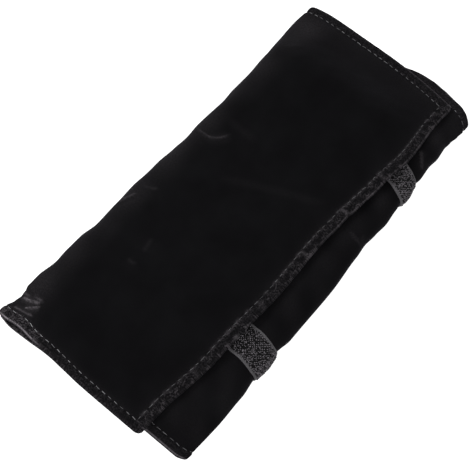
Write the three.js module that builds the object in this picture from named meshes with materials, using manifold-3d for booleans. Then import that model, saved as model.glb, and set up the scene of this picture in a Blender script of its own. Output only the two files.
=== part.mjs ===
// Velvet jewelry roll, closed: a padded velvet sheet folded in three like a letter. The base lies on the
// table, the back fold turns up into the flap on top, and the front fold turns up into a front panel under
// the flap.
// Two loop tapes run round the front fold, and hook tapes under the flap's free edge press on them.
// Inside are ring rolls, a zip pocket on the base, and slip pockets on the flap and the front panel.
// Millimetres, +Z up. X runs from the back fold to the front fold and Y along the folds.
// The origin is the middle of the footprint.

import * as THREE from 'three';
import { mergeVertices } from 'three/addons/utils/BufferGeometryUtils.js';
import Module from 'manifold-3d';

// Closed roll
const LENGTH = 300; // along the folds
const WIDTH = 150; // from the back fold's flared ends to the tape pile on the front fold
const ROOM = 12.4; // free height between the base's lining and the front panel's
const FLAP_SETBACK = 20; // from the front edge of the footprint back to the middle of the flap's free edge
const FLAP_SKEW = 12.5; // how much further forward the flap and its fold lie at the far end than at the near
const END_TAPER = 48; // length over which each end flattens
const END_FLARE = 6; // how far the flattened ends stand out behind the middle of the back fold
const END_TUCK = 3; // how far the flattened ends of the front fold are drawn in
const END_GAP = 0.8; // gap between two hems that lie on each other at the flattened ends

// Layers of the sheet
const CLEARANCE = 0.3; // gap between two layers or pieces that touch
const COVER = 1.0; // outer velvet
const PADDING = 1.6;
const LINING = 0.6;
const HEM = 2 * COVER + LINING; // turned edge: velvet on both faces of the lining
const HEM_WIDTH = 9;
const HEM_STEP = 0.4; // width of the step where a hem's turned edge ends
const EDGE_ROUND = 1.0; // depth of the rounding along a hem's edge
const EDGE_DROP = 0.7; // how much thinner each face gets on the rounded edge
const PAD_START = 1.5; // from a fold to where the lining starts to rise on to the padding
const PAD_SLOPE = 4; // length over which the lining rises on to the padding
const PAD_MARGIN = 0.5; // gap round the padding, in the plane of the panel
const PAD_END = 14; // from the end hem to the end of the padding

// Closing tapes
const TAPE_WIDTH = 20;
const TAPE_SPACING = 145; // between the middles of the two tapes
const TAPE_SHIFT = 2; // from the roll's middle to halfway between the tapes
const TAPE_WEAVE = 0.7; // woven ground and selvedges
const SELVEDGE = 2.8; // bare woven edge on each side of the pile
const PILE_STEP = 0.3; // width of the side of the pile
const LOOP_TAPE = 1.8; // ground and loop pile
const HOOK_TAPE = 1.4; // ground and hooks
const HOOK_LENGTH = 22;
const HOOK_INSET = 3; // from the hem to the hook tape
const LOOP_SPARE = 3; // how far the loop tape reaches behind the hooks
const FRONT_SPARE = 5; // how far the front panel reaches behind the loop tapes
const TAPE_CUT = 0.6; // gap in the loop tape where the front fold ends

// Ring rolls on the base
const RING_COUNT = 3;
const RING_GAP = 0.6; // between two rolls
const RING_FRONT = 3.5; // from the last roll to the front panel's edge
const RING_HEADROOM = 1.6; // above the rolls, below the flap's pocket
const RING_TONGUE = 2.2; // thickness of a roll's flattened end
const RING_TONGUE_LENGTH = 12;
const RING_SHOULDER = 16; // length over which a roll swells from its tongue
const BAND = 0.8; // strip that holds the tongues
const BAND_WIDTH = 10;
const BAND_FOOT = 1.4; // width of the band's sewn foot

// Pockets
const SHEET = 0.7; // velvet of a pocket
const POCKET_END = 38; // from the roll's end to the end of the pockets and ring rolls
const POCKET_SIDE = 2; // from the edge of the padding's level part to a pocket's sewn side
const POCKET_SEAM = 2.5; // width of a pocket's sewn edge
const POCKET_SAG = 1.0; // how far a pocket's sheet stands off in its middle
const FRONT_POCKET_MOUTH = 3; // from the front panel's hem to the elastic
const ELASTIC = 1.2;
const ELASTIC_WIDTH = 5;

// Zip of the base pocket
const ZIP_TAPE = 0.6;
const ZIP_TAPE_WIDTH = 6;
const ZIP_END = 15.5; // from the pocket's end to the end of the zip tapes
const ZIP_FREE = 4.5; // from the zip's middle to the fabric sewn along it
const TOOTH_PITCH = 4;
const TOOTH_HEIGHT = 1.3;
const TOOTH_REACH = 2.2; // width of a tooth row
const TOOTH_SPINE = 1.0; // solid part of a tooth row
const TEETH_END = 4.5; // from the end of the tapes to the end of the teeth
const STOP_LENGTH = 2.5;
const SLIDER_LENGTH = 10;
const SLIDER_HALF_WIDTH = 3.8;
const SLIDER_LIP = 0.8; // thickness of the slider's side lips
const SLIDER_PLATE = 1.0;
const SLIDER_WEB = 0.5; // thin wall between the two rows of teeth
const BRIDGE_LENGTH = 7;
const BRIDGE_WIDTH = 1.6;
const BRIDGE_LEG = 1.2;
const BRIDGE_BEAM = 0.7;
const BRIDGE_WINDOW = 1.5; // free height under the bridge
const PULL = 0.9;
const PULL_LENGTH = 19;
const PULL_WIDTH = 6.5;
const PULL_NECK = 4.6; // width of the pull at its eye
const PULL_BAR = 1.1; // bar that runs under the bridge
const PULL_EYE_WIDTH = 2.6;
const PULL_EYE_LENGTH = 5;

// Fineness of curves
const TAPER_STEPS = 6;
const FOLD_STEPS = 10; // even, so that one point lies on a fold's outermost line
const RING_SIDES = 12;
const SHOULDER_STEPS = 5;

const material = (color, roughness, metalness = 0) =>
  new THREE.MeshStandardMaterial({ color, roughness, metalness });
const VELVET = material(0x131113, 0.95);
const LINING_VELVET = material(0x1a181b, 0.95);
const FOAM = material(0x8c8a86, 0.9);
const LOOP_PILE = material(0x3b3a3d, 0.95);
const HOOK_NYLON = material(0x2a292b, 0.6);
const ZIP_WEAVE = material(0x1c1b1d, 0.85);
const ZIP_NYLON = material(0x232224, 0.45);
const NICKEL = material(0xb4b2ae, 0.3, 1);
const ELASTIC_BAND = material(0x201f21, 0.8);

// Heights of the stack
const SKIN = COVER + CLEARANCE; // from an outer face to the lining where there is no padding
const PAD_RISE = PADDING + CLEARANCE;
const PANEL = SKIN + PAD_RISE + LINING; // whole padded panel
const FRONT_TOP = PANEL + ROOM + PANEL;
const FLAP_TOP = FRONT_TOP + CLEARANCE + LOOP_TAPE + CLEARANCE + HOOK_TAPE + CLEARANCE + LINING + SKIN;
const FRONT_END_TOP = 2 * HEM + END_GAP;
const FLAP_END_TOP = FRONT_END_TOP + END_GAP + HEM;

// Places along Y
const END = LENGTH / 2;
const HEM_LINE = END - HEM_WIDTH;
const TAPER_START = HEM_LINE - HEM_STEP;
const LINING_END = TAPER_START - CLEARANCE;
const PADDING_END = HEM_LINE - PAD_END;
const FITTINGS_END = END - POCKET_END;

// 0 at the flattened ends and 1 over the middle, in straight steps, so that all layers share the same slopes
function rise(y) {
  const share = THREE.MathUtils.clamp((TAPER_START - Math.abs(y)) / END_TAPER, 0, 1) * TAPER_STEPS;
  const step = Math.min(Math.floor(share), TAPER_STEPS - 1);
  const low = THREE.MathUtils.smoothstep(step / TAPER_STEPS, 0, 1);
  const high = THREE.MathUtils.smoothstep((step + 1) / TAPER_STEPS, 0, 1);
  return THREE.MathUtils.lerp(low, high, share - step);
}
const flapTop = (y) => THREE.MathUtils.lerp(FLAP_END_TOP, FLAP_TOP, rise(y));
const frontTop = (y) => THREE.MathUtils.lerp(FRONT_END_TOP, FRONT_TOP, rise(y));

// Places along X
const BACK = -WIDTH / 2; // outermost line of the back fold, at its flared near end
const FRONT = WIDTH / 2 - CLEARANCE - LOOP_TAPE; // outermost line of the front fold's velvet
const BACK_CREASE = BACK + FLAP_SKEW / 2 + END_FLARE + FLAP_TOP / 2; // halfway along the back fold
const FRONT_CREASE = FRONT - FRONT_TOP / 2;
const skew = (y) => (FLAP_SKEW * y) / LENGTH;
const backCrease = (y) => BACK_CREASE + skew(y); // where the back fold meets the panels
const flare = (y) => END_FLARE * (1 - rise(y)); // what the back fold takes up at the ends draws the flap back
const flapEdge = (y) => WIDTH / 2 - FLAP_SETBACK + skew(y) - flare(y);
const TAPES = [
  { name: 'near', y: TAPE_SHIFT - TAPE_SPACING / 2 },
  { name: 'far', y: TAPE_SHIFT + TAPE_SPACING / 2 },
];
for (const tape of TAPES) {
  tape.hookFront = flapEdge(tape.y - TAPE_WIDTH / 2) - HEM_WIDTH - HEM_STEP - HOOK_INSET;
  tape.hookBack = tape.hookFront - HOOK_LENGTH;
  tape.loopBack = tape.hookBack - LOOP_SPARE;
}
const FRONT_EDGE = Math.min(...TAPES.map((tape) => tape.loopBack)) - FRONT_SPARE;
const HOOK_ZONE = HOOK_INSET + HOOK_LENGTH + skew(TAPE_WIDTH); // bare of padding
const PAD_LEVEL = CLEARANCE + PAD_START + PAD_SLOPE; // from a crease to where the padding is level
const RINGS_START = backCrease(FITTINGS_END) + PAD_LEVEL + BAND_FOOT + BAND;
const RINGS_END = FRONT_EDGE - RING_FRONT;
const FACING_SEAM = RINGS_END + BAND + BAND_FOOT + CLEARANCE;
const ROW_GAP = SLIDER_WEB + 2 * CLEARANCE; // between the zip's two tapes, where the slider's web runs
const ZIP_X = FACING_SEAM + POCKET_SEAM + CLEARANCE + ZIP_TAPE_WIDTH + ROW_GAP / 2;

// Rows along Y from -end to end: the taper's steps, the lines where the padding slopes, and the given places
function rows(start, end, ...places) {
  const all = [start, end];
  for (let step = 0; step <= TAPER_STEPS; step += 1) {
    const y = TAPER_START - (END_TAPER * step) / TAPER_STEPS;
    all.push(y, -y);
  }
  all.push(...places);
  const inside = all.filter((y) => y >= start && y <= end).sort((a, b) => a - b);
  return inside.filter((y, i) => i === 0 || y - inside[i - 1] > 0.01);
}
const both = (...places) => places.flatMap((y) => [-y, y]);

// Closed solid through equal rings of [x, z] points, one ring for each row y
function loft(ys, ringAt) {
  const rings = ys.map((y) => {
    const ring = ringAt(y).map(([x, z]) => new THREE.Vector2(x, z));
    return THREE.ShapeUtils.isClockWise(ring) ? ring.reverse() : ring;
  });
  const count = rings[0].length;
  const positions = rings.flatMap((ring, i) => ring.flatMap((point) => [point.x, ys[i], point.y]));
  const index = [];
  for (let i = 0; i + 1 < rings.length; i += 1) {
    for (let j = 0; j < count; j += 1) {
      const here = i * count + j;
      const next = i * count + ((j + 1) % count);
      index.push(here, here + count, next, next, here + count, next + count);
    }
  }
  const last = (rings.length - 1) * count;
  for (const [a, b, c] of THREE.ShapeUtils.triangulateShape(rings[0], [])) {
    index.push(a, b, c);
  }
  for (const [a, b, c] of THREE.ShapeUtils.triangulateShape(rings.at(-1), [])) {
    index.push(last + a, last + c, last + b);
  }
  const geometry = new THREE.BufferGeometry();
  geometry.setAttribute('position', new THREE.Float32BufferAttribute(positions, 3));
  geometry.setIndex(index);
  return geometry;
}

// Ring of a flat layer from columns of [x, low z, high z]
function layerRing(columns) {
  const upper = columns.map(([x, , high]) => [x, high]);
  const lower = columns.map(([x, low]) => [x, low]);
  return [...upper, ...lower.reverse()];
}
const layer = (ys, columnsAt) => loft(ys, (y) => layerRing(columnsAt(y)));

// Ring of a layer that goes round a fold, between two depths under its outer face
const backFold = { side: -1, crease: backCrease, top: flapTop, reach: (y) => FLAP_TOP / 2 + flare(y) };
const tuck = (y) => END_TUCK * (1 - rise(y));
const frontFold = {
  side: 1,
  crease: () => FRONT_CREASE,
  top: frontTop,
  reach: (y) => FRONT_TOP / 2 - tuck(y),
};
function foldRing(fold, y, outer, inner, lowest = -Math.PI / 2) {
  const half = fold.top(y) / 2;
  const at = (depth, step) => {
    const share = (2 * step) / FOLD_STEPS - 1;
    const angle = share < 0 ? -share * lowest : share * (Math.PI / 2);
    const x = fold.crease(y) + fold.side * (fold.reach(y) - depth) * Math.cos(angle);
    return [x, half + (half - depth) * Math.sin(angle)];
  };
  const steps = Array.from({ length: FOLD_STEPS + 1 }, (_, step) => step);
  return [...steps.map((step) => at(outer, step)), ...steps.reverse().map((step) => at(inner, step))];
}

const roll = new THREE.Group();
function add(name, geometry, finish) {
  const mesh = new THREE.Mesh(geometry, finish);
  mesh.name = name;
  roll.add(mesh);
}

// Outer velvet. A hem is twice as thick as the rest, turned to the inside, and rounded along its edge.
const COVER_ROWS = rows(-END, END, ...both(END - EDGE_ROUND, HEM_LINE));
const atTip = (y) => (Math.abs(y) > END - EDGE_ROUND / 2 ? EDGE_DROP : 0);
const inEndHem = (y) => Math.abs(y) > HEM_LINE - HEM_STEP / 2;
const coverAt = (y) => (inEndHem(y) ? HEM : COVER);

function baseCover() {
  const columnsAt = (y) => {
    const top = coverAt(y) - atTip(y);
    return [backCrease(y) + CLEARANCE, FRONT_CREASE - CLEARANCE].map((x) => [x, 0, top]);
  };
  return layer(COVER_ROWS, columnsAt);
}

function foldCover(fold) {
  return loft(COVER_ROWS, (y) => foldRing(fold, y, 0, coverAt(y) - atTip(y)));
}

// Panel above the base, from its fold to a hemmed free edge
function panelCover(fold, edgeAt) {
  const columnsAt = (y) => {
    const edge = edgeAt(y);
    const top = fold.top(y);
    const column = (x, thickness, round) => [x, top - thickness + round, top - round];
    return [
      column(fold.crease(y) - fold.side * CLEARANCE, coverAt(y), atTip(y)),
      column(edge + fold.side * (HEM_WIDTH + HEM_STEP), coverAt(y), atTip(y)),
      column(edge + fold.side * HEM_WIDTH, HEM, atTip(y)),
      column(edge + fold.side * EDGE_ROUND, HEM, atTip(y)),
      column(edge, HEM, EDGE_DROP),
    ];
  };
  return layer(COVER_ROWS, columnsAt);
}

// Lining and padding. Each panel has the stretch of padding that is free of its hems, folds and hook tapes.
const basePanel = {
  name: 'base',
  from: (y) => backCrease(y) + CLEARANCE,
  to: () => FRONT_CREASE - CLEARANCE,
  bareEnd: 0,
  level: (y, depth) => depth,
};
const flapPanel = {
  name: 'flap',
  from: (y) => backCrease(y) + CLEARANCE,
  to: (y) => flapEdge(y) - HEM_WIDTH - HEM_STEP - CLEARANCE,
  bareEnd: HOOK_ZONE,
  level: (y, depth) => flapTop(y) - depth,
};
const frontPanel = {
  name: 'front_panel',
  from: () => FRONT_CREASE - CLEARANCE,
  to: () => FRONT_EDGE + HEM_WIDTH + HEM_STEP + CLEARANCE,
  bareEnd: 0,
  level: (y, depth) => frontTop(y) - depth,
};
const PADDING_ROWS_END = PADDING_END + PAD_MARGIN;

// Places across a panel where the lining starts to rise, is up, starts to fall, and is down again
function slopesAcross(panel, y) {
  const way = Math.sign(panel.to(y) - panel.from(y));
  const up = panel.from(y) + way * (PAD_START + PAD_SLOPE);
  const down = panel.to(y) - way * (panel.bareEnd + PAD_START + PAD_SLOPE);
  return { way, up, down };
}

function padded(y) {
  return 1 - THREE.MathUtils.clamp((Math.abs(y) - PADDING_ROWS_END) / PAD_SLOPE, 0, 1);
}

function panelLining(panel) {
  const columnsAt = (y) => {
    const { way, up, down } = slopesAcross(panel, y);
    const column = (x, share) => {
      const depth = SKIN + PAD_RISE * share * padded(y);
      return [x, panel.level(y, depth), panel.level(y, depth + LINING)];
    };
    return [
      column(panel.from(y), 0),
      column(up - way * PAD_SLOPE, 0),
      column(up, 1),
      column(down, 1),
      column(down + way * PAD_SLOPE, 0),
      column(panel.to(y), 0),
    ];
  };
  const slopes = both(PADDING_ROWS_END, PADDING_ROWS_END + PAD_SLOPE);
  return layer(rows(-LINING_END, LINING_END, ...slopes), columnsAt);
}

function foldLining(fold) {
  return loft(rows(-LINING_END, LINING_END), (y) => foldRing(fold, y, SKIN, SKIN + LINING));
}

function panelPadding(panel) {
  const columnsAt = (y) => {
    const { way, up, down } = slopesAcross(panel, y);
    const column = (x) => [x, panel.level(y, SKIN), panel.level(y, SKIN + PADDING)];
    return [column(up + way * PAD_MARGIN), column(down - way * PAD_MARGIN)];
  };
  return layer(rows(-PADDING_END, PADDING_END), columnsAt);
}

add('base_cover', baseCover(), VELVET);
add('back_fold_cover', foldCover(backFold), VELVET);
add('flap_cover', panelCover(backFold, flapEdge), VELVET);
add('front_fold_cover', foldCover(frontFold), VELVET);
add('front_panel_cover', panelCover(frontFold, () => FRONT_EDGE), VELVET);
for (const panel of [basePanel, flapPanel, frontPanel]) {
  add(`${panel.name}_padding`, panelPadding(panel), FOAM);
  add(`${panel.name}_lining`, panelLining(panel), LINING_VELVET);
}
add('back_fold_lining', foldLining(backFold), LINING_VELVET);
add('front_fold_lining', foldLining(frontFold), LINING_VELVET);

// Closing tapes: a woven ground with a raised pile between two selvedges
function tapeRows(tape) {
  const half = TAPE_WIDTH / 2;
  const pile = half - SELVEDGE;
  const places = [-half, -pile, -pile + PILE_STEP, pile - PILE_STEP, pile, half].map((y) => tape.y + y);
  return rows(tape.y - half, tape.y + half, ...places);
}
function tapeThickness(tape, y, pileHeight) {
  const inPile = Math.abs(y - tape.y) < TAPE_WIDTH / 2 - SELVEDGE - PILE_STEP / 2;
  return inPile ? pileHeight : TAPE_WEAVE;
}

// The loop tape goes round the front fold down to where it would touch the table
function loopTapeFold(tape) {
  const half = FRONT_TOP / 2;
  const lowest = -Math.asin((half - CLEARANCE) / (half + CLEARANCE + LOOP_TAPE));
  return loft(tapeRows(tape), (y) => {
    const thickness = tapeThickness(tape, y, LOOP_TAPE);
    return foldRing(frontFold, y, -CLEARANCE - thickness, -CLEARANCE, lowest);
  });
}

function loopTapePanel(tape) {
  return layer(tapeRows(tape), (y) => {
    const low = frontTop(y) + CLEARANCE;
    const high = low + tapeThickness(tape, y, LOOP_TAPE);
    return [tape.loopBack, FRONT_CREASE - TAPE_CUT].map((x) => [x, low, high]);
  });
}

function hookTape(tape) {
  return layer(tapeRows(tape), (y) => {
    const high = flapTop(y) - SKIN - LINING - CLEARANCE;
    const low = high - tapeThickness(tape, y, HOOK_TAPE);
    return [tape.hookBack, tape.hookFront].map((x) => [x, low, high]);
  });
}

for (const tape of TAPES) {
  add(`loop_tape_${tape.name}_fold`, loopTapeFold(tape), LOOP_PILE);
  add(`loop_tape_${tape.name}_panel`, loopTapePanel(tape), LOOP_PILE);
  add(`hook_tape_${tape.name}`, hookTape(tape), HOOK_NYLON);
}

// Ring rolls: padded bars side by side, flattened to tongues at both ends and held there by a sewn band
const INSIDE = PANEL + CLEARANCE; // what lies on the base's lining starts here
const POCKET_LOW = FLAP_TOP - PANEL - CLEARANCE - POCKET_SAG - SHEET;
const RING_TOP = POCKET_LOW - RING_HEADROOM;
const RING_PITCH = (RINGS_END - RINGS_START) / RING_COUNT;

function ringRoll(number) {
  const middle = RINGS_START + (number - 0.5) * RING_PITCH;
  const half = (RING_PITCH - RING_GAP) / 2;
  const shoulder = FITTINGS_END - RING_TONGUE_LENGTH;
  const places = [FITTINGS_END];
  for (let step = 0; step <= SHOULDER_STEPS; step += 1) {
    places.push(shoulder - RING_SHOULDER * (1 - Math.cos((Math.PI / 2) * (step / SHOULDER_STEPS))));
  }
  const ys = both(...places).sort((a, b) => a - b);
  return loft(ys, (y) => {
    const share = THREE.MathUtils.clamp((shoulder - Math.abs(y)) / RING_SHOULDER, 0, 1);
    const swell = Math.sqrt(1 - (1 - share) ** 2);
    const height = THREE.MathUtils.lerp(RING_TONGUE, RING_TOP - INSIDE, swell);
    return Array.from({ length: RING_SIDES }, (_, side) => {
      const angle = ((side + 0.5) / RING_SIDES) * 2 * Math.PI;
      const across = Math.sign(Math.cos(angle)) * Math.sqrt(Math.abs(Math.cos(angle)));
      const along = Math.sign(Math.sin(angle)) * Math.sqrt(Math.abs(Math.sin(angle)));
      const widest = Math.sqrt(Math.cos(Math.PI / RING_SIDES));
      return [middle + (half * across) / widest, INSIDE + (height / 2) * (1 + along / widest)];
    });
  });
}

// The band steps down to the lining beside the first and the last roll
function ringBand(y) {
  const high = INSIDE + RING_TONGUE + CLEARANCE;
  const outer = RINGS_END - RING_GAP / 2 + CLEARANCE;
  const inner = RINGS_START + RING_GAP / 2 - CLEARANCE;
  const ys = [y - BAND_WIDTH / 2, y + BAND_WIDTH / 2];
  return layer(ys, () => [
    [inner - BAND - BAND_FOOT, INSIDE, INSIDE + BAND],
    [inner - BAND, INSIDE, INSIDE + BAND],
    [inner, high, high + BAND],
    [outer, high, high + BAND],
    [outer + BAND, INSIDE, INSIDE + BAND],
    [outer + BAND + BAND_FOOT, INSIDE, INSIDE + BAND],
  ]);
}

for (let number = 1; number <= RING_COUNT; number += 1) {
  add(`ring_roll_${number}`, ringRoll(number), VELVET);
}
const BAND_Y = FITTINGS_END - RING_TONGUE_LENGTH / 2;
add('ring_band_near', ringBand(-BAND_Y), LINING_VELVET);
add('ring_band_far', ringBand(BAND_Y), LINING_VELVET);

// Zip pocket on the base: a facing and a pocket front are sewn to the two zip tapes
const ZIP_LEVEL = INSIDE + SLIDER_PLATE + CLEARANCE; // the zip tapes lie above the slider's lower plate
const ZIP_TOP = ZIP_LEVEL + ZIP_TAPE + CLEARANCE;
const TEETH_TOP = ZIP_TOP + TOOTH_HEIGHT;
const TAPE_END = FITTINGS_END - ZIP_END;
const TEETH_REACH = TAPE_END - TEETH_END;
const POCKET_FRONT_END = FRONT_CREASE - PAD_LEVEL - POCKET_SIDE;
const POCKET_ROWS = both(FITTINGS_END, FITTINGS_END - POCKET_SEAM).sort((a, b) => a - b);

function zipTape(side) {
  const edge = ZIP_X + side * (ROW_GAP / 2);
  return layer([-TAPE_END, TAPE_END], () =>
    [edge, edge + side * ZIP_TAPE_WIDTH].map((x) => [x, ZIP_LEVEL, ZIP_LEVEL + ZIP_TAPE]),
  );
}

// Fabric beside the zip, from columns of [x, height over the lining]. Its ends come down to the lining.
const OVER_ZIP = ZIP_TOP - INSIDE;
function zipFabric(columns) {
  return layer(POCKET_ROWS, (y) => {
    const up = Math.abs(y) < FITTINGS_END - POCKET_SEAM / 2 ? 1 : 0;
    return columns.map(([x, lift]) => [x, INSIDE + up * lift, INSIDE + up * lift + SHEET]);
  });
}
const ZIP_FACING_COLUMNS = [
  [FACING_SEAM, 0],
  [FACING_SEAM + POCKET_SEAM, OVER_ZIP],
  [ZIP_X - ZIP_FREE, OVER_ZIP],
];
const POCKET_FRONT_COLUMNS = [
  [ZIP_X + ZIP_FREE, OVER_ZIP],
  [ZIP_X + ROW_GAP / 2 + ZIP_TAPE_WIDTH + CLEARANCE, OVER_ZIP + POCKET_SAG],
  [POCKET_FRONT_END - POCKET_SEAM, POCKET_SAG],
  [POCKET_FRONT_END, 0],
];

// Row of moulded teeth along the edge of a tape
function zipTeeth(side) {
  const edge = side * (ROW_GAP / 2);
  const spine = side * (ROW_GAP / 2 + TOOTH_REACH - TOOTH_SPINE);
  const outside = side * (ROW_GAP / 2 + TOOTH_REACH);
  const teeth = Math.floor((2 * TEETH_REACH) / TOOTH_PITCH);
  const start = (-teeth * TOOTH_PITCH) / 2;
  const outline = new THREE.Shape().moveTo(outside, start);
  for (let tooth = 0; tooth < teeth; tooth += 1) {
    const y = start + tooth * TOOTH_PITCH;
    outline.lineTo(tooth === 0 ? edge : spine, y);
    outline.lineTo(edge, y);
    outline.lineTo(edge, y + TOOTH_PITCH / 2);
    outline.lineTo(spine, y + TOOTH_PITCH / 2);
  }
  outline.lineTo(spine, -start);
  outline.lineTo(outside, -start);
  const geometry = new THREE.ExtrudeGeometry(outline, { depth: TOOTH_HEIGHT, bevelEnabled: false });
  return geometry.translate(ZIP_X, 0, ZIP_TOP);
}

function zipStop(width, x, y) {
  return new THREE.BoxGeometry(width, STOP_LENGTH, TOOTH_HEIGHT).translate(x, y, ZIP_TOP + TOOTH_HEIGHT / 2);
}

add('zip_pocket_facing', zipFabric(ZIP_FACING_COLUMNS), LINING_VELVET);
add('zip_pocket_front', zipFabric(POCKET_FRONT_COLUMNS), LINING_VELVET);
const STOP_Y = TEETH_REACH + CLEARANCE + STOP_LENGTH / 2;
for (const [name, side] of [['inner', -1], ['outer', 1]]) {
  add(`zip_tape_${name}`, zipTape(side), ZIP_WEAVE);
  add(`zip_teeth_${name}`, zipTeeth(side), ZIP_NYLON);
  const stopX = ZIP_X + side * (ROW_GAP / 2 + TOOTH_REACH / 2);
  add(`zip_top_stop_${name}`, zipStop(TOOTH_REACH, stopX, STOP_Y), ZIP_NYLON);
}
add('zip_bottom_stop', zipStop(ROW_GAP + 2 * TOOTH_REACH, ZIP_X, -STOP_Y), ZIP_NYLON);

// Slider: two plates joined by a thin web, side lips over the teeth, and a bridge for the pull
const wasm = await Module();
wasm.setup();
function solid(geometry) {
  const bare = geometry.clone();
  bare.deleteAttribute('normal');
  bare.deleteAttribute('uv');
  const merged = mergeVertices(bare, 1e-4);
  const vertProperties = merged.getAttribute('position').array;
  const triVerts = new Uint32Array(merged.index.array);
  return new wasm.Manifold(new wasm.Mesh({ numProp: 3, vertProperties, triVerts }));
}
function surface(made) {
  const mesh = made.getMesh();
  const geometry = new THREE.BufferGeometry();
  geometry.setAttribute('position', new THREE.Float32BufferAttribute(mesh.vertProperties, 3));
  geometry.setIndex([...mesh.triVerts]);
  return geometry;
}

const SLIDER_Y = TEETH_REACH - SLIDER_LENGTH / 2;
const PLATE_LOW = TEETH_TOP + CLEARANCE;
const PLATE_TOP = PLATE_LOW + SLIDER_PLATE;
const BRIDGE_TOP = PLATE_TOP + BRIDGE_WINDOW + BRIDGE_BEAM;

function sliderBody() {
  const lipLow = ZIP_TOP + CLEARANCE;
  const web = SLIDER_WEB / 2;
  const half = SLIDER_LENGTH / 2;
  const waist = [[-half, 0.78], [-half / 3, 0.94], [half / 3, 1], [half, 0.86]];
  const widths = new Map(waist.map(([y, share]) => [y, share]));
  return loft([...widths.keys()], (y) => {
    const outer = SLIDER_HALF_WIDTH * widths.get(y);
    const inner = SLIDER_HALF_WIDTH - SLIDER_LIP;
    const lip = Math.max(outer, inner + SLIDER_LIP / 2);
    const right = [
      [outer - SLIDER_LIP, INSIDE],
      [outer - SLIDER_LIP, INSIDE + SLIDER_PLATE],
      [web, INSIDE + SLIDER_PLATE],
      [web, PLATE_LOW],
      [inner, PLATE_LOW],
      [inner, lipLow],
      [lip, lipLow],
      [lip, PLATE_TOP],
    ];
    return [...right, ...right.map(([x, z]) => [-x, z]).reverse()];
  });
}

function sliderBridge() {
  const half = BRIDGE_LENGTH / 2;
  const low = PLATE_TOP - SLIDER_PLATE / 2;
  const profile = new THREE.Shape([
    new THREE.Vector2(-half, low),
    new THREE.Vector2(-half + BRIDGE_LEG, low),
    new THREE.Vector2(-half + BRIDGE_LEG, PLATE_TOP + BRIDGE_WINDOW),
    new THREE.Vector2(half - BRIDGE_LEG, PLATE_TOP + BRIDGE_WINDOW),
    new THREE.Vector2(half - BRIDGE_LEG, low),
    new THREE.Vector2(half, low),
    new THREE.Vector2(half, BRIDGE_TOP - BRIDGE_BEAM),
    new THREE.Vector2(half - BRIDGE_LEG, BRIDGE_TOP),
    new THREE.Vector2(-half + BRIDGE_LEG, BRIDGE_TOP),
    new THREE.Vector2(-half, BRIDGE_TOP - BRIDGE_BEAM),
  ]);
  const geometry = new THREE.ExtrudeGeometry(profile, { depth: BRIDGE_WIDTH, bevelEnabled: false });
  return geometry.translate(0, 0, -BRIDGE_WIDTH / 2).rotateX(Math.PI / 2).rotateZ(Math.PI / 2);
}

// Flat pull that lies towards -Y, with an eye round the bridge's leg and a bar under the bridge
function zipPull() {
  const neck = PULL_NECK / 2;
  const half = PULL_WIDTH / 2;
  const outline = new THREE.Shape();
  outline.moveTo(neck, PULL_BAR / 2);
  outline.lineTo(-neck, PULL_BAR / 2);
  outline.lineTo(-neck, -PULL_EYE_LENGTH - PULL_BAR);
  outline.lineTo(-half, half - PULL_LENGTH);
  outline.absarc(0, half - PULL_LENGTH, half, Math.PI, 2 * Math.PI, false);
  outline.lineTo(neck, -PULL_EYE_LENGTH - PULL_BAR);
  const eye = PULL_EYE_WIDTH / 2;
  const hole = new THREE.Path();
  hole.moveTo(-eye, -PULL_BAR / 2);
  hole.lineTo(eye, -PULL_BAR / 2);
  hole.lineTo(eye, -PULL_BAR / 2 - PULL_EYE_LENGTH);
  hole.lineTo(-eye, -PULL_BAR / 2 - PULL_EYE_LENGTH);
  outline.holes.push(hole);
  return new THREE.ExtrudeGeometry(outline, { depth: PULL, bevelEnabled: false, curveSegments: 6 });
}

const slider = surface(solid(sliderBody()).add(solid(sliderBridge())));
add('zip_slider', slider.translate(ZIP_X, SLIDER_Y, 0), NICKEL);
add('zip_pull', zipPull().translate(ZIP_X, SLIDER_Y, PLATE_TOP + CLEARANCE), NICKEL);

// Slip pockets under the flap and under the front panel, with an elastic along the mouth
function slipPocket(panel, seamAt, mouthAt) {
  const way = Math.sign(mouthAt(0) - seamAt(0));
  const ys = rows(-FITTINGS_END, FITTINGS_END, ...both(FITTINGS_END - POCKET_SEAM));
  return layer(ys, (y) => {
    const sag = Math.abs(y) < FITTINGS_END - POCKET_SEAM / 2 ? POCKET_SAG : 0;
    const column = (x, drop) => {
      const depth = PANEL + CLEARANCE + drop;
      return [x, panel.level(y, depth), panel.level(y, depth + SHEET)];
    };
    return [column(seamAt(y), 0), column(seamAt(y) + way * POCKET_SEAM, sag), column(mouthAt(y), sag / 2)];
  });
}

function pocketElastic(panel, mouthAt, way) {
  const depth = PANEL + CLEARANCE;
  return layer(rows(-FITTINGS_END, FITTINGS_END), (y) => {
    const from = mouthAt(y) + way * CLEARANCE;
    const column = (x) => [x, panel.level(y, depth), panel.level(y, depth + ELASTIC)];
    return [column(from), column(from + way * ELASTIC_WIDTH)];
  });
}

const FLAP_MOUTH = FRONT_EDGE - CLEARANCE - ELASTIC_WIDTH - RING_FRONT - skew(FITTINGS_END);
const flapSeamAt = (y) => backCrease(y) + PAD_LEVEL + POCKET_SIDE;
const flapMouthAt = (y) => FLAP_MOUTH + skew(y);
const FRONT_MOUTH = FRONT_EDGE + HEM_WIDTH + HEM_STEP + FRONT_POCKET_MOUTH + ELASTIC_WIDTH;
const frontSeamAt = () => POCKET_FRONT_END;
const frontMouthAt = () => FRONT_MOUTH;
add('flap_pocket', slipPocket(flapPanel, flapSeamAt, flapMouthAt), LINING_VELVET);
add('flap_pocket_elastic', pocketElastic(flapPanel, flapMouthAt, 1), ELASTIC_BAND);
add('front_pocket', slipPocket(frontPanel, frontSeamAt, frontMouthAt), LINING_VELVET);
add('front_pocket_elastic', pocketElastic(frontPanel, frontMouthAt, -1), ELASTIC_BAND);

export default roll;
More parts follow.
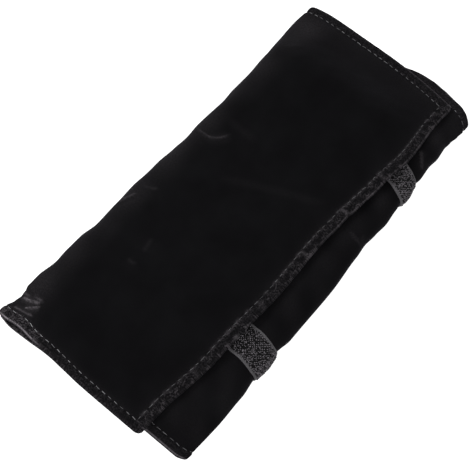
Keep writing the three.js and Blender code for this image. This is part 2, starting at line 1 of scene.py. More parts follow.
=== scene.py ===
"""Looks of a black velvet jewelry roll, built on the frame of its CAD model.

The roll is a padded sheet folded in three. Lengths are in millimetres until a mesh is made.
x runs across the roll from its back fold to its front fold, and y along the folds.
A sheet of cloth is a grid of points, with its rows along y and its columns across.
"""
import math
from collections import namedtuple

import bpy
import numpy as np
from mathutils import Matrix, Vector


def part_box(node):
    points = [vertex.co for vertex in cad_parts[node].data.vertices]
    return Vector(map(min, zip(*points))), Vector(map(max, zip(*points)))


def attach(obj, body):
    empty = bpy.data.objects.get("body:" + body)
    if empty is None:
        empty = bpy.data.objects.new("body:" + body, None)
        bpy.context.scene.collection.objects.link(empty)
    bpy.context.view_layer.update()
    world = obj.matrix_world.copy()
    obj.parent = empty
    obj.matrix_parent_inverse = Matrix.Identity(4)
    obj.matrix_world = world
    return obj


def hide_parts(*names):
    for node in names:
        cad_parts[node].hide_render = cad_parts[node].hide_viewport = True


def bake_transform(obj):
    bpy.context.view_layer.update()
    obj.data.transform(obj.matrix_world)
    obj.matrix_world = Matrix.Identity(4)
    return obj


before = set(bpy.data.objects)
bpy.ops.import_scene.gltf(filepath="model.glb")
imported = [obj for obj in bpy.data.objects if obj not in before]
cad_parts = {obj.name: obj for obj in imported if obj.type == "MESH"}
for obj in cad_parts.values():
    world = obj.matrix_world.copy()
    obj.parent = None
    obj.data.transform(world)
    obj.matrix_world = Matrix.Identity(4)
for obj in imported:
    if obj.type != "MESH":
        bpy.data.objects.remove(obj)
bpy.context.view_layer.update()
MM = 0.001


def low(node):
    return np.array(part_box(node)[0]) / MM


def high(node):
    return np.array(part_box(node)[1]) / MM


def span(node):
    return low(node)[0], high(node)[0]


# The folded sheet, as in the part's source
END = high("base_cover")[1]  # half the roll's length
FLAP_TOP = high("flap_cover")[2]
FRONT_TOP = high("front_panel_cover")[2]
HEM = high("base_cover")[2]  # thickness of a hem
FLAP_END_TOP = low("flap_cover")[2] + HEM
FRONT_END_TOP = low("front_panel_cover")[2] + HEM
FLAP_SKEW = 12.5  # how much further forward the flap lies at the far end
FLAP_SETBACK = 20  # from the roll's front to the flap's free edge
END_TAPER = 48  # length over which each end is flattened
END_FLARE = 6  # how far the back fold's flattened ends stand out
END_TUCK = 3  # how far the front fold's flattened ends are drawn in
COVER = 1.0  # velvet of the cover
GAP = 0.3  # between the layers
PADDING = 1.6
LINING = 0.6
PAD_START = 1.5  # from a fold's crease to the start of the padding's slope
PAD_SLOPE = 4.0
PANEL = COVER + PADDING + LINING + 2 * GAP
LINING_DEPTH = COVER + GAP
BACK_CREASE = low("back_fold_cover")[0] + FLAP_SKEW / 2 + END_FLARE + FLAP_TOP / 2
FRONT_CREASE = low("front_fold_cover")[0]
FRONT_EDGE = low("front_panel_cover")[0]
FLAP_EDGE = high("loop_tape_near_fold")[0] - FLAP_SETBACK
BASE_MIDDLE = (BACK_CREASE + FRONT_CREASE) / 2
TAPER_START = high("base_lining")[1] + GAP  # the ends are flat from here on
TAPE_WIDTH = high("loop_tape_near_panel")[1] - low("loop_tape_near_panel")[1]
TAPE_MIDDLES = tuple(
    (low(node)[1] + high(node)[1]) / 2 for node in ("loop_tape_near_panel", "loop_tape_far_panel")
)
FITTINGS_END = high("zip_pocket_front")[1]  # half the length of the pockets

# How far the edges of the soft roll stand out from the plain folds: (place along y, how far)
BACK_WAVE = (
    (-150, 1.0), (-144, 0.6), (-137, -1.6), (-133, -2.2), (-130, -1.6), (-126, 0.0), (-117, 0.6),
    (-105, -0.5), (-94, 0.5), (-82, 0.6), (-70, -1.2), (-52, -0.2), (-35, 0.7), (-24, 0.1), (-12, 0.3),
    (0, -0.7), (11, -1.4), (23, -0.5), (47, -1.3), (58, -0.2), (70, -0.1), (93, 1.7), (105, 2.4),
    (128, 2.6), (150, 1.5),
)
FRONT_WAVE = (
    (-150, 0.2), (-125, 1.6), (-100, 0.2), (-82, -1.2), (-72, -0.5), (-62, -1.2), (-50, 0.8), (-12, 1.4),
    (17, -0.2), (27, -1.0), (37, 0.0), (47, 1.0), (58, 0.1), (68, -0.9), (78, -2.0), (88, -0.4), (99, -1.0),
    (112, 0.6), (121, 0.4), (128, 1.4), (135, 2.8), (142, 3.6), (150, 3.4),
)
FLAP_EDGE_WAVE = (
    (-150, -1.7), (-130, -2.0), (-90, -1.0), (-40, -0.2), (8, -2.0), (22, -1.4), (30, -1.6), (36, -0.5),
    (60, 1.1), (84, 3.0), (101, 2.3), (120, 2.8), (136, 3.4), (150, 3.6),
)
FLAP_PUFF = 0.9
FLAP_SAG = 2.0  # of the free edge between and beside the tapes
TAPE_HOLD = 17  # half width over which a tape holds the free edge up
SOFTNESS = 0.4  # height of the flap's broad unevenness
FRONT_SHOWN = 56  # where the front panel comes out from under the flap
FRONT_PUFF = 0.5
FRONT_SOFTNESS = 0.35
TAPE_PINCH = 0.5  # how far a tape pulls the front panel in
NEAR_TIP_TRIM = 1.2  # the back fold's near tip is drawn back
NEAR_HOLLOW = 1.8  # and so is the near end beside it
TIP_GAPE = 2.5  # and the flap lies back behind the base there
FAR_CORNER_TRIM = 6.8  # the flap's far corner is drawn back
FAR_BACK_EXTRA = 0.9  # the far end stands out near the back fold
NEAR_FRONT_TRIM = 5.0  # the lower layers' near end is drawn back at the front
NEAR_FOLD_TRIM = 2.4  # and more so on the front fold
FAR_FOLD_TRIM = 8.0  # their far end is drawn back on the front fold
FAR_FRONT_EXTRA = 4.0  # the lower layers' far end stands out past the flap
FRONT_CORNER_TRIM = 3.0  # the front panel's far corner is drawn back under the flap
FLAP_CORNER = 4.5  # radius of the flap's corners
FRONT_CORNER = 3.0  # and of the front panel's
SEAM_ANGLE = math.radians(-25)  # on each fold, where the upper and the lower pieces meet
NO_EDGE = 99.0  # distance to an edge where a grid has none

# Creases of the velvet: start, middle, end, half width, height, and the strength of the painted highlight on
# the crushed pile of the ridge
FLAP_CREASES = (
    ((-60, 20), (-45, 18), (-36, 29), 1.0, 1.1, 0.5),
    ((-63, -53), (-59, -47), (-55, -39), 1.0, 1.1, 0.6),
    ((-59, -34), (-51, -33), (-47, -29), 1.6, 0.7, 0.18),
    ((-71, -132.6), (-63.4, -130.9), (-56, -128), 0.75, 1.3, 2.1),
    ((-63.6, -136.6), (-60, -134), (-55.5, -130), 0.7, 1.2, 1.9),
    ((-64, -128.3), (-60, -127.6), (-56, -127.2), 0.65, 0.8, 1.2),
    ((-73, -129.5), (-69, -129.5), (-64, -129.4), 0.65, 0.8, 1.0),
    ((-70, -123), (-63, -126), (-56, -127), 1.0, 0.7, 0.3),
    ((-71, -139.8), (-63, -138.6), (-55, -137.0), 0.7, 0.5, 1.4),
    ((-31, -76), (-27, -77), (-25, -75), 1.5, 0.4, 0.1),
    ((-28, -57), (-27, -63), (-26, -68), 1.8, 0.4, 0.085),
    ((-26, -3), (7, 13), (45, 29), 4.0, 0.3, 0.04),
    ((-48, 36), (-34, 34), (-19, 34), 4.0, 0.3, 0.04),
    ((-52, 101), (-47, 107), (-43, 113), 2.0, 0.4, 0.06),
)
FRONT_CREASES = (
    ((62, 98), (66.6, 92.7), (71, 88), 1.3, 0.6, 0.4),
    ((60, 24.5), (66, 23), (72, 23), 1.8, 0.6, 0.17),
    ((68, 29), (69.4, 25), (69.5, 21), 1.4, 0.4, 0.12),
)
CREASE_STEPS = 31  # points along a crease

# Hems and stitches
HEM_SHOWN = 8.3  # width of a hem as it shows
HEM_STEP = 0.6  # width of the step at a hem's inner edge
NEAR_NARROW = 0.82  # width of the hem along the near end, as a share of its full width
FAR_NARROW = 0.88  # and along the far end
HEM_INSETS = (  # how far the rows and columns of a hem are from the edge
    1.3, 1.8, 2.4, 3.1, 3.9, 4.7, 5.4, 6.0, 6.4, 6.8, 7.2, 7.7, 8.3, 8.9, 9.6, 10.5, 11.6
)
STITCH_INSET = 6.8
STITCH_INDEX = HEM_INSETS.index(STITCH_INSET)
STITCH_PITCH = 4.7
HEM_STITCH = (STITCH_PITCH, 3.8, 0.29)  # pitch, length, thread
TAPE_STITCH = (2.6, 2.0, 0.34)
BAND_STITCH = (2.6, 2.0, 0.36)
POCKET_STITCH = (3.4, 2.6, 0.38)
STITCH_WANDER = 0.14  # along the seam
STITCH_SPANS = (0.62, 1.1)  # shortest and longest, as shares of the length
STITCH_SLANT = (0.08, 0.06)  # mean and spread
STITCH_SHADES = (0.2, 1.0)  # darkest and palest
SEAM_HALF = 0.8  # half width of the groove along a hem's stitches
PALE_ENDS = {"flap": (1.0, 0.6), "front_panel": (0.35, 0.5), "base": (0.6, 0.6)}  # near, far end
PALE_EDGE = 0.3
PALE_INSIDE = 0.7
FREE_PINCHES = ((-104, 0.3), (-48, 0.3), (-6.7, 0.6), (31, 0.8), (64, 0.4))  # across the free hem: y, and the strength of the painted highlight there
PAINTED_FOLD_SHEEN = 0.15  # strength of the painted sheen along the back fold
GATHER = 7.0  # length of the gathers along a hem
CORNER_WEAR = 7.0
HEM_SEED = 21

RIM = 7  # steps round a rim
UPPER_RIM_HIGHLIGHT = (1.0, 0.35, 0.0, 0.0, 0.0, 0.0)  # how light the painted highlight line is at the steps round an upper rim
LOWER_RIM_HIGHLIGHT = (0.0, 0.1, 0.6, 1.0, 0.2, 0.0)  # and round the lowest layer's rim
SHARP = math.radians(55)  # edges that turn by more aren't shaded smooth
ODD_WAY = np.array([0.21, 0.37, 0.9])  # a direction that no thread runs along
THREAD_APART = 7.3  # between neighbouring threads in the patterns of the materials


def smooth(t):
    t = np.clip(t, 0, 1)
    return t * t * (3 - 2 * t)


def bell(t):
    return np.exp(-(t**2))


def wave(y, knots):
    """A soft line through the given values along y."""
    places, values = np.array(knots).T
    last = np.clip(np.searchsorted(places, y), 1, len(places) - 1)
    share = smooth((y - places[last - 1]) / (places[last] - places[last - 1]))
    return values[last - 1] + (values[last] - values[last - 1]) * share


def undulation(x, y, length, seed, waves=8):
    """Smooth unevenness of about the given wave length, mostly between -1 and 1."""
    random = np.random.default_rng(seed)
    total = 0
    for _ in range(waves):
        turn, phase = random.uniform(0, 2 * math.pi, 2)
        rate = 2 * math.pi * random.uniform(0.7, 1.4) / length
        total = total + np.sin((x * math.cos(turn) + y * math.sin(turn)) * rate + phase)
    return total / math.sqrt(waves)


def rise(y):
    """0 at the flattened ends, 1 along the middle."""
    return smooth((TAPER_START - np.abs(y)) / END_TAPER)


def skew(y):
    return FLAP_SKEW * y / (2 * END)


def back_crease(y):
    return BACK_CREASE + skew(y)


def back_reach(y):
    return FLAP_TOP / 2 + END_FLARE * (1 - rise(y)) + wave(y, BACK_WAVE)


def flap_top(y):
    return FLAP_END_TOP + (FLAP_TOP - FLAP_END_TOP) * rise(y)


def flap_edge(y):
    return FLAP_EDGE + skew(y) - END_FLARE * (1 - rise(y)) + wave(y, FLAP_EDGE_WAVE)


def tape_hold(y):
    """1 where a tape holds the flap's free edge, 0 away from the tapes."""
    return sum(np.exp(-(((y - middle) / TAPE_HOLD) ** 4)) for middle in TAPE_MIDDLES)


def flap_lift(x, y):
    """How far all the flap's layers stand above its plain form."""
    across = np.clip((x - back_crease(y)) / (flap_edge(y) - back_crease(y)), 0, 1)
    free = smooth((across - 0.62) / 0.38)
    puff = FLAP_PUFF * np.sin(math.pi * across)
    sag = FLAP_SAG * free * (1 - tape_hold(y))
    soft = SOFTNESS * undulation(x, y, 75, 4) * (1 - 0.6 * free)
    return (puff - sag + soft) * rise(y)


def front_crease(y):
    return FRONT_CREASE + 0 * y


def front_reach(y):
    return FRONT_TOP / 2 - END_TUCK * (1 - rise(y)) + wave(y, FRONT_WAVE)


def front_top(y):
    return FRONT_END_TOP + (FRONT_TOP - FRONT_END_TOP) * rise(y)


def front_edge(y):
    return FRONT_EDGE + 0 * y


def front_lift(x, y):
    """How far the front panel's layers stand above their plain form."""
    shown = smooth((x - FRONT_SHOWN) / 6)
    pinch = -TAPE_PINCH * tape_hold(y)
    soft = FRONT_SOFTNESS * undulation(x, y, 48, 9)
    return shown * (FRONT_PUFF + pinch + soft) * rise(y)


# A fold of the sheet with the panel that it turns up into; side is where it lies on x
Fold = namedtuple("Fold", "side crease reach top edge lift")
BACK = Fold(-1, back_crease, back_reach, flap_top, flap_edge, flap_lift)
FRONT = Fold(1, front_crease, front_reach, front_top, front_edge, front_lift)


def back_near_trim(x):
    return NEAR_TIP_TRIM * smooth((-66 - x) / 9) + NEAR_HOLLOW * bell((x + 34) / 17)


def back_far_extra(x):
    return FAR_BACK_EXTRA * bell((x + 42) / 24)


def upper_trims(fold, x):
    """How far the near and the far end of a panel are drawn in."""
    if fold is BACK:
        far = FAR_CORNER_TRIM * np.clip((x + 10) / 67, 0, 1) ** 2 - back_far_extra(x)
        return back_near_trim(x) + TIP_GAPE * bell((x + 59) / 13), far
    near, far = lower_trims(x)
    return near, far + FRONT_CORNER_TRIM * (1 - smooth((x - FRONT_EDGE) / 22))


def lower_trims(x):
    """The same for the lower layers."""
    front = NEAR_FRONT_TRIM * smooth((x + 30) / 70)
    near = back_near_trim(x) + front + NEAR_FOLD_TRIM * np.clip((x - 62) / 9, 0, 1) ** 2
    extra = FAR_FRONT_EXTRA * smooth((x + 12) / 36) * smooth((66 - x) / 30)
    far = FAR_FOLD_TRIM * np.clip((x - 59) / 15, 0, 1) ** 2 - extra - back_far_extra(x)
    return near, far


class Grid:
    """Points of a sheet, the distances to its edges, and the direction out of the roll at each point."""

    def __init__(self, x, y, z, out, facing, edge_inset, end_inset):
        self.points = np.stack([x, y, z], axis=2)
        self.out = out
        self.facing = facing  # 1 or -1, for the order of each face's corners
        self.edge_inset = edge_inset
        self.end_inset = end_inset
        self.inset = np.minimum(edge_inset, end_inset)
        self.free = edge_inset < end_inset
        self.ease = np.ones(edge_inset.shape)  # 0 at the seam on a fold, 1 on its panel

    @property
    def x(self):
        return self.points[..., 0]

    @property
    def y(self):
        return self.points[..., 1]

    @property
    def z(self):
        return self.points[..., 2]

    def raised(self, height):
        return self.points + self.out * np.broadcast_to(height, self.x.shape)[..., None]

    def uneven(self, length, seed):
        return undulation(self.x, self.y, length, seed)

    def inward(self, start, length):
        """0 as far from the edges as the start, and 1 a length further in."""
        return smooth((self.inset - start) / length)


def steps(first, last, step):
    """Values between two ends, without the ends, about a step apart."""
    count = max(2, round(abs(last - first) / step))
    return np.linspace(first, last, count + 1)[1:-1]


def lengthwise(insets, step):
    insets = np.array(insets)
    return np.concatenate([insets - END, steps(insets[-1] - END, END - insets[-1], step), END - insets[::-1]])


def rounded_corner(edge_inset, end_inset, radius):
    """Bend the two distances near a corner so that the corner becomes round."""
    p = np.clip((radius - edge_inset) / radius, 0, 1)
    q = np.clip((radius - end_inset) / radius, 0, 1)
    edge_inset = edge_inset + radius * p * (1 - np.sqrt(1 - q * q / 2))
    end_inset = end_inset + radius * q * (1 - np.sqrt(1 - p * p / 2))
    return edge_inset, end_inset


def end_shift(x, y, near, far):
    """Move rows near the ends by the trims, less and less towards the middle, and narrow the hems there."""
    inset = END - np.abs(y)
    wide = np.where(y < 0, NEAR_NARROW + 0.12 * smooth((-48 - x) / 9), FAR_NARROW)
    narrowing = np.sign(y) * (1 - wide) * inset * smooth((24 - inset) / 14)
    return near * smooth((-70 - y) / 60) - far * smooth((y - 70) / 60) + narrowing


def fold_out(fold, angles, shape):
    """Directions out of the roll: round the fold in the first columns, straight up after them."""
    out = np.zeros(shape + (3,))
    out[..., 2] = 1
    turned = angles.shape[1]
    out[:, :turned, 0] = fold.side * np.cos(angles)
    out[:, :turned, 2] = np.sin(angles)
    return out


def wrapped(fold, x, y, angles, edge_inset, end_inset):
    """A grid whose first columns go round a fold by the angles, and whose others lie on its panel."""
    z = fold.top(y) + 0 * x
    turned = angles.shape[1]
    z[:, :turned] *= (1 + np.sin(angles)) / 2
    grid = Grid(x, y, z, fold_out(fold, angles, x.shape), -fold.side, edge_inset, end_inset)
    grid.ease[:, :turned] = smooth((angles - SEAM_ANGLE) / (math.pi / 2 - SEAM_ANGLE))
    grid.points = grid.raised(fold.lift(x, y) * grid.ease)
    return grid


def upper_sheet(fold, insets, step, corner=0.0):
    """The sheet over a fold's upper part and its panel, from the seam on the fold to the panel's edge."""
    y = lengthwise(insets, step)[:, None]
    side, edge, crease = fold.side, fold.edge(y), fold.crease(y)
    angles = np.linspace(SEAM_ANGLE, math.pi / 2, round(28 / step) + 2)[None, :-1]
    insets = np.array(insets)[::-1]
    inner = edge + side * insets[0]
    width = float(np.abs(inner - crease).max())
    shares = np.linspace(0, 1, round(width / step) + 1)[None, :-1]
    fold_x = crease + side * fold.reach(y) * np.cos(angles)
    x = np.hstack([fold_x, crease + (inner - crease) * shares, edge + side * insets[None, :]])
    y = np.broadcast_to(y, x.shape)
    edge_inset = (x - edge) * side
    end_inset = END - np.abs(y)
    if corner:
        edge_inset, end_inset = rounded_corner(edge_inset, end_inset, corner)
        x = edge + side * edge_inset
        y = np.sign(y) * (END - end_inset)
    y = y + end_shift(x, y, *upper_trims(fold, x))
    return wrapped(fold, x, y, angles, edge_inset, end_inset)


def lower_sheet(fold, insets, step):
    """The sheet round a fold's lower part and over the base, from the seam on the fold to the middle."""
    y = lengthwise(insets, step)[:, None]
    side, crease = fold.side, fold.crease(y)
    angles = np.linspace(SEAM_ANGLE, -math.pi / 2, round(18 / step) + 2)[None, :-1]
    shares = np.linspace(0, 1, round(abs(BASE_MIDDLE - fold.crease(0.0)) / step) + 1)[None, :]
    fold_x = crease + side * fold.reach(y) * np.cos(angles)
    x = np.hstack([fold_x, crease + (BASE_MIDDLE - crease) * shares])
    y = np.broadcast_to(y, x.shape)
    end_inset = END - np.abs(y)
    y = y + end_shift(x, y, *lower_trims(x))
    z = np.zeros(x.shape)
    turned = angles.shape[1]
    z[:, :turned] = fold.top(y[:, :turned]) * (1 + np.sin(angles)) / 2
    out = fold_out(fold, angles, x.shape)
    out[:, turned:, 2] = -1
    return Grid(x, y, z, out, side, np.full(x.shape, NO_EDGE), end_inset)


def panel_grid(fold, first, last, near, far, step):
    """A grid on a panel alone, from x = first to last and from y = near to far; no fold means the base."""
    y = np.linspace(near, far, max(3, round((far - near) / step) + 1))[:, None]
    first, last = ((edge(y) if callable(edge) else edge) + 0 * y for edge in (first, last))
    width = float(np.abs(last - first).max())
    shares = np.linspace(0, 1, max(3, round(width / step) + 1))[None, :]
    x = first + (last - first) * shares
    y = np.broadcast_to(y, x.shape)
    up = 1 if fold else -1
    z = fold.top(y) + fold.lift(x, y) if fold else 0 * x
    out = np.zeros(x.shape + (3,))
    out[..., 2] = up
    return Grid(x, y, z, out, up, np.minimum(x - first, last - x), np.minimum(y - near, far - y))


def box_grid(node, step, fold=None):
    """A grid over the place of a CAD piece, with the piece's corners."""
    corner, far = low(node), high(node)
    return panel_grid(fold, corner[0], far[0], corner[1], far[1], step), corner, far


def ring_of(rows, columns):
    """Row and column numbers round a grid's border."""
    top = [(0, j) for j in range(columns)]
    right = [(i, columns - 1) for i in range(1, rows)]
    bottom = [(rows - 1, j) for j in range(columns - 2, -1, -1)]
    left = [(i, 0) for i in range(rows - 2, 0, -1)]
    return np.array(top + right + bottom + left).T


def unit(vectors):
    return vectors / np.maximum(np.linalg.norm(vectors, axis=-1, keepdims=True), 1e-9)


def outward(points, rounded):
    """Directions out of a grid at its border, zero along the sides that aren't rounded."""
    near, far, first, last = rounded
    way = np.zeros(points.shape)
    way[0] += near * unit(points[0] - points[1])
    way[-1] += far * unit(points[-1] - points[-2])
    way[:, 0] += first * unit(points[:, 0] - points[:, 1])
    way[:, -1] += last * unit(points[:, -1] - points[:, -2])
    return unit(way)


def quads(rows, columns, flip):
    i, j = np.meshgrid(np.arange(rows - 1), np.arange(columns - 1), indexing="ij")
    a = (i * columns + j).ravel()
    faces = np.stack([a, a + 1, a + columns + 1, a + columns], axis=1)
    return faces[:, ::-1] if flip else faces


def tube_faces(rings, sides):
    """Faces of a tube, with its points ring by ring."""
    ring, side = np.meshgrid(np.arange(rings - 1), np.arange(sides), indexing="ij")
    one = (ring * sides + side).ravel()
    other = (ring * sides + (side + 1) % sides).ravel()
    return np.stack([one, other, other + sides, one + sides], axis=1)


def cloth_places(points):
    """Places on the flat cloth in millimetres, for the patterns of the materials."""
    across = np.linalg.norm(np.diff(points, axis=1), axis=2)
    across = np.concatenate([np.zeros((len(points), 1)), np.cumsum(across, axis=1)], axis=1)
    return np.stack([across, points[..., 1], 0 * across], axis=2)


def mesh_object(name, points, faces):
    mesh = bpy.data.meshes.new(name)
    mesh.from_pydata((np.asarray(points) * MM).tolist(), [], faces)
    mesh.polygons.foreach_set("use_smooth", np.ones(len(mesh.polygons), dtype=bool))
    mesh.update()
    obj = bpy.data.objects.new(name, mesh)
    bpy.context.scene.collection.objects.link(obj)
    return obj


def put_attribute(obj, name, values):
    kind, field = ("FLOAT", "value") if values.ndim == 1 else ("FLOAT_VECTOR", "vector")
    attribute = obj.data.attributes.new(name, kind, "POINT")
    attribute.data.foreach_set(field, values.astype(np.float32).ravel())


def shell(name, grid, top, bottom, rounded=(1, 1, 1, 1), wear=0, painted_sheen=0, rim_highlight=0, profile=UPPER_RIM_HIGHLIGHT):
    """A closed piece of cloth between two heights over a grid, with round or flat rims on its sides.

    Wear is the same on both faces, the painted sheen and highlights are on the outer face only, and a painted
    highlight line lies on the rim.
    """
    outer, inner = grid.raised(top), grid.raised(bottom)
    rows, columns = outer.shape[:2]
    size = rows * columns
    flip = grid.facing < 0
    i, j = ring_of(rows, columns)
    border = i * columns + j
    way = outward(outer, rounded)[i, j]
    half = (outer - inner)[i, j] / 2
    middle = (outer + inner)[i, j] / 2
    radius = np.linalg.norm(half, axis=1, keepdims=True)
    rings = [border]
    points = [outer.reshape(-1, 3), inner.reshape(-1, 3)]
    for k in range(1, RIM):
        turn = math.pi * k / RIM
        points.append(middle + half * math.cos(turn) + way * radius * math.sin(turn))
        rings.append(2 * size + (k - 1) * len(border) + np.arange(len(border)))
    rings.append(border + size)
    faces = [quads(rows, columns, flip), quads(rows, columns, not flip) + size]
    for one, other in zip(rings, rings[1:]):
        rim = np.stack([np.roll(one, -1), one, other, np.roll(other, -1)], axis=1)
        faces.append(rim[:, ::-1] if flip else rim)
    obj = mesh_object(name, np.concatenate(points), np.concatenate(faces).tolist())
    obj.data.set_sharp_from_angle(angle=SHARP)
    cloth = cloth_places(outer)
    put_attribute(obj, "cloth", np.concatenate([cloth.reshape(-1, 3)] * 2 + [cloth[i, j]] * (RIM - 1)))
    none = np.zeros((rows, columns))
    wear, painted_sheen, rim_highlight = wear + none, painted_sheen + none, rim_highlight + none
    put_attribute(obj, "wear", np.concatenate([wear.ravel()] * 2 + [wear[i, j]] * (RIM - 1)))
    line = [share * rim_highlight[i, j] for share in profile]
    # painted sheen on the outer face and painted highlight lines round the rim
    put_attribute(obj, "painted_sheen", np.concatenate([painted_sheen.ravel(), none.ravel()] + line))
    return obj


def tubes(name, paths, radii, sides, wear):
    """Many short round threads in one mesh; paths is threads by points by 3."""
    count, length = paths.shape[:2]
    along = unit(np.gradient(paths, axis=1))
    across = unit(np.cross(along, ODD_WAY))
    third = np.cross(along, across)
    turns = np.arange(sides) * 2 * math.pi / sides
    around = across[:, :, None] * np.cos(turns)[:, None] + third[:, :, None] * np.sin(turns)[:, None]
    points = paths[:, :, None] + around * np.broadcast_to(radii, (count, length))[..., None, None]
    starts = (np.arange(count) * length * sides)[:, None, None]
    caps = np.stack([np.arange(sides)[::-1], np.arange(sides) + (length - 1) * sides])
    faces = (tube_faces(length, sides)[None] + starts).reshape(-1, 4).tolist()
    faces += (caps[None] + starts).reshape(-1, sides).tolist()
    obj = mesh_object(name, points.reshape(-1, 3), faces)
    put_attribute(obj, "wear", np.repeat(wear, length * sides))
    lengths = np.broadcast_to(np.arange(length)[None, :, None], (count, length, sides))
    apart = THREAD_APART * np.arange(count)[:, None, None]
    places = np.stack([lengths + apart, 0 * lengths, 0 * lengths], axis=3)
    put_attribute(obj, "cloth", places.reshape(-1, 3))
    return obj


def line_lengths(points):
    return np.concatenate([[0], np.cumsum(np.linalg.norm(np.diff(points, axis=0), axis=1))])


def along_line(points, values, places):
    lengths = line_lengths(points)
    return np.stack([np.interp(places, lengths, values[:, k]) for k in range(3)], axis=-1)


def stitches(name, lines, seed, kind):
    """Rows of single stitches; a line is its points, the directions out of the cloth and how pale it is."""
    pitch, length, thread = kind
    random = np.random.default_rng(seed)
    shape = np.linspace(-0.5, 0.5, 7)
    height = thread * (0.7 - 26 * shape**4)
    paths = []
    shades = []
    for points, out, pale in lines:
        whole = line_lengths(points)[-1]
        count = round(whole / pitch)
        middles = (np.arange(count) + 0.5) * whole / count + random.normal(0, STITCH_WANDER, count)
        spans = length * random.uniform(*STITCH_SPANS, count)
        path = along_line(points, points, middles[:, None] + shape * spans[:, None])
        up = unit(along_line(points, out, middles))[:, None]
        slant = random.normal(*STITCH_SLANT, count) * spans
        lean = np.cross(unit(path[:, -1:] - path[:, :1]), up) * slant[:, None, None]
        paths.append(path + up * height[:, None] + lean * shape[:, None])
        shades.append(pale * random.uniform(*STITCH_SHADES, count))
    radii = thread / 2 * np.array([0.55, 0.85, 1, 1, 1, 0.85, 0.55])
    return tubes(name, np.concatenate(paths), radii, 6, np.concatenate(shades))


def sample(values, rows, columns):
    """Values of a grid at fractional row and column numbers."""
    i = np.clip(rows.astype(int), 0, values.shape[0] - 2)
    j = np.clip(columns.astype(int), 0, values.shape[1] - 2)
    s = (rows - i)[:, None]
    t = (columns - j)[:, None]
    near = values[i, j] * (1 - t) + values[i, j + 1] * t
    far = values[i + 1, j] * (1 - t) + values[i + 1, j + 1] * t
    return near * (1 - s) + far * s


def nearest(values, place):
    return np.argmin(np.abs(values - place))


# Materials


class Paint:
    """Nodes of a material or a world, added by kind, with their inputs by name."""

    def __init__(self, owner, main="Principled BSDF"):
        owner.use_nodes = True
        self.owner = owner
        self.tree = owner.node_tree
        self.shader = self.tree.nodes[main]

    def give(self, socket, value):
        if isinstance(value, bpy.types.NodeSocket):
            self.tree.links.new(value, socket)
        else:
            socket.default_value = value

    def fill(self, node, inputs):
        for key, value in inputs.items():
            self.give(node.inputs[key.replace("_", " ")], value)

    def add(self, kind, settings=None, **inputs):
        node = self.tree.nodes.new(kind)
        for key, value in (settings or {}).items():
            setattr(node, key, value)
        self.fill(node, inputs)
        return node

    def shade(self, **inputs):
        self.fill(self.shader, inputs)

    def mark(self, name, output="Fac"):
        return self.add("ShaderNodeAttribute", {"attribute_name": name}).outputs[output]

    def place(self):
        return self.mark("cloth", "Vector")

    def scaled(self, vector, scale):
        node = self.add("ShaderNodeVectorMath", {"operation": "SCALE"}, Vector=vector, Scale=scale)
        return node.outputs[0]

    def solid_place(self):
        """Places in millimetres on a piece that isn't cloth."""
        return self.scaled(self.add("ShaderNodeTexCoord").outputs["Object"], 1 / MM)

    def noise(self, where, size, detail=2.0, rough=0.55):
        node = self.add("ShaderNodeTexNoise", Vector=where, Scale=1 / size, Detail=detail, Roughness=rough)
        return node.outputs["Fac"]

    def bands(self, where, size, direction):
        settings = {"bands_direction": direction}
        node = self.add("ShaderNodeTexWave", settings, Vector=where, Scale=0.314 / size, Distortion=0.0)
        return node.outputs["Fac"]

    def math(self, operation, first, second):
        node = self.add("ShaderNodeMath", {"operation": operation})
        self.give(node.inputs[0], first)
        self.give(node.inputs[1], second)
        return node.outputs[0]

    def times(self, first, second):
        return self.math("MULTIPLY", first, second)

    def plus(self, first, second):
        return self.math("ADD", first, second)

    def ramp(self, value, start, stop, low_to=0.0, high_to=1.0):
        ends = {"From_Min": start, "From_Max": stop, "To_Min": low_to, "To_Max": high_to}
        return self.add("ShaderNodeMapRange", Value=value, **ends).outputs[0]

    def mix(self, share, first, second):
        colours = {"A": colour(first), "B": colour(second)}
        return self.add("ShaderNodeMix", {"data_type": "RGBA"}, Factor=share, **colours).outputs["Result"]

    def bump(self, height, depth, strength):
        node = self.add("ShaderNodeBump", Strength=strength, Distance=depth * MM, Height=height)
        self.shade(Normal=node.outputs[0])


def new_paint(name):
    return Paint(bpy.data.materials.new(name))


def colour(value):
    return tuple(value) + (1.0,) if isinstance(value, tuple) and len(value) == 3 else value


HIGHLIGHT_GAIN = 6  # how much lighter than crushed pile the painted highlights on rims and creases are at their strongest


def pile_cloth(name, dark, light, crushed, sheen, tint):
    """Velvet: near black, with patches where the nap lies differently, greyer and speckled where the pile is
    crushed at hems, and lighter still where sheen and highlights are painted on.
    """
    paint = new_paint(name)
    where = paint.place()
    fine = paint.noise(where, 0.32, 3.0, 0.7)
    speckle = paint.noise(where, 1.0, 2.0, 0.7)
    clumps = paint.noise(where, 3.4, 2.0, 0.6)
    patches = paint.noise(where, 26)
    base = paint.mix(paint.ramp(patches, 0.35, 0.68), dark, light)
    spots = paint.times(paint.ramp(speckle, 0.46, 0.62), paint.ramp(clumps, 0.34, 0.6, 0.25, 1.0))
    worn = paint.times(paint.mark("wear"), spots)
    # painted sheen and highlights, streaky, up to many times as light as crushed pile
    streaks = paint.ramp(speckle, 0.35, 0.65, 0.5 / HIGHLIGHT_GAIN, 1.5 / HIGHLIGHT_GAIN)
    sheen_share = paint.times(paint.mark("painted_sheen"), streaks)
    highlight_colour = tuple(HIGHLIGHT_GAIN * value for value in crushed)
    shown = paint.mix(worn, paint.mix(sheen_share, base, highlight_colour), crushed)
    shown = paint.scaled(shown, paint.ramp(fine, 0.3, 0.7, 0.7, 1.3))
    paint.shade(Base_Color=shown, Roughness=paint.ramp(fine, 0.3, 0.7, 0.85, 1.0))
    paint.shade(Specular_IOR_Level=0.02, Sheen_Weight=sheen, Sheen_Roughness=0.3, Sheen_Tint=colour(tint))
    rough = paint.times(speckle, paint.ramp(paint.mark("wear"), 0, 1, 0.2, 2.2))
    paint.bump(paint.plus(fine, rough), 0.22, 0.7)
    return paint.owner


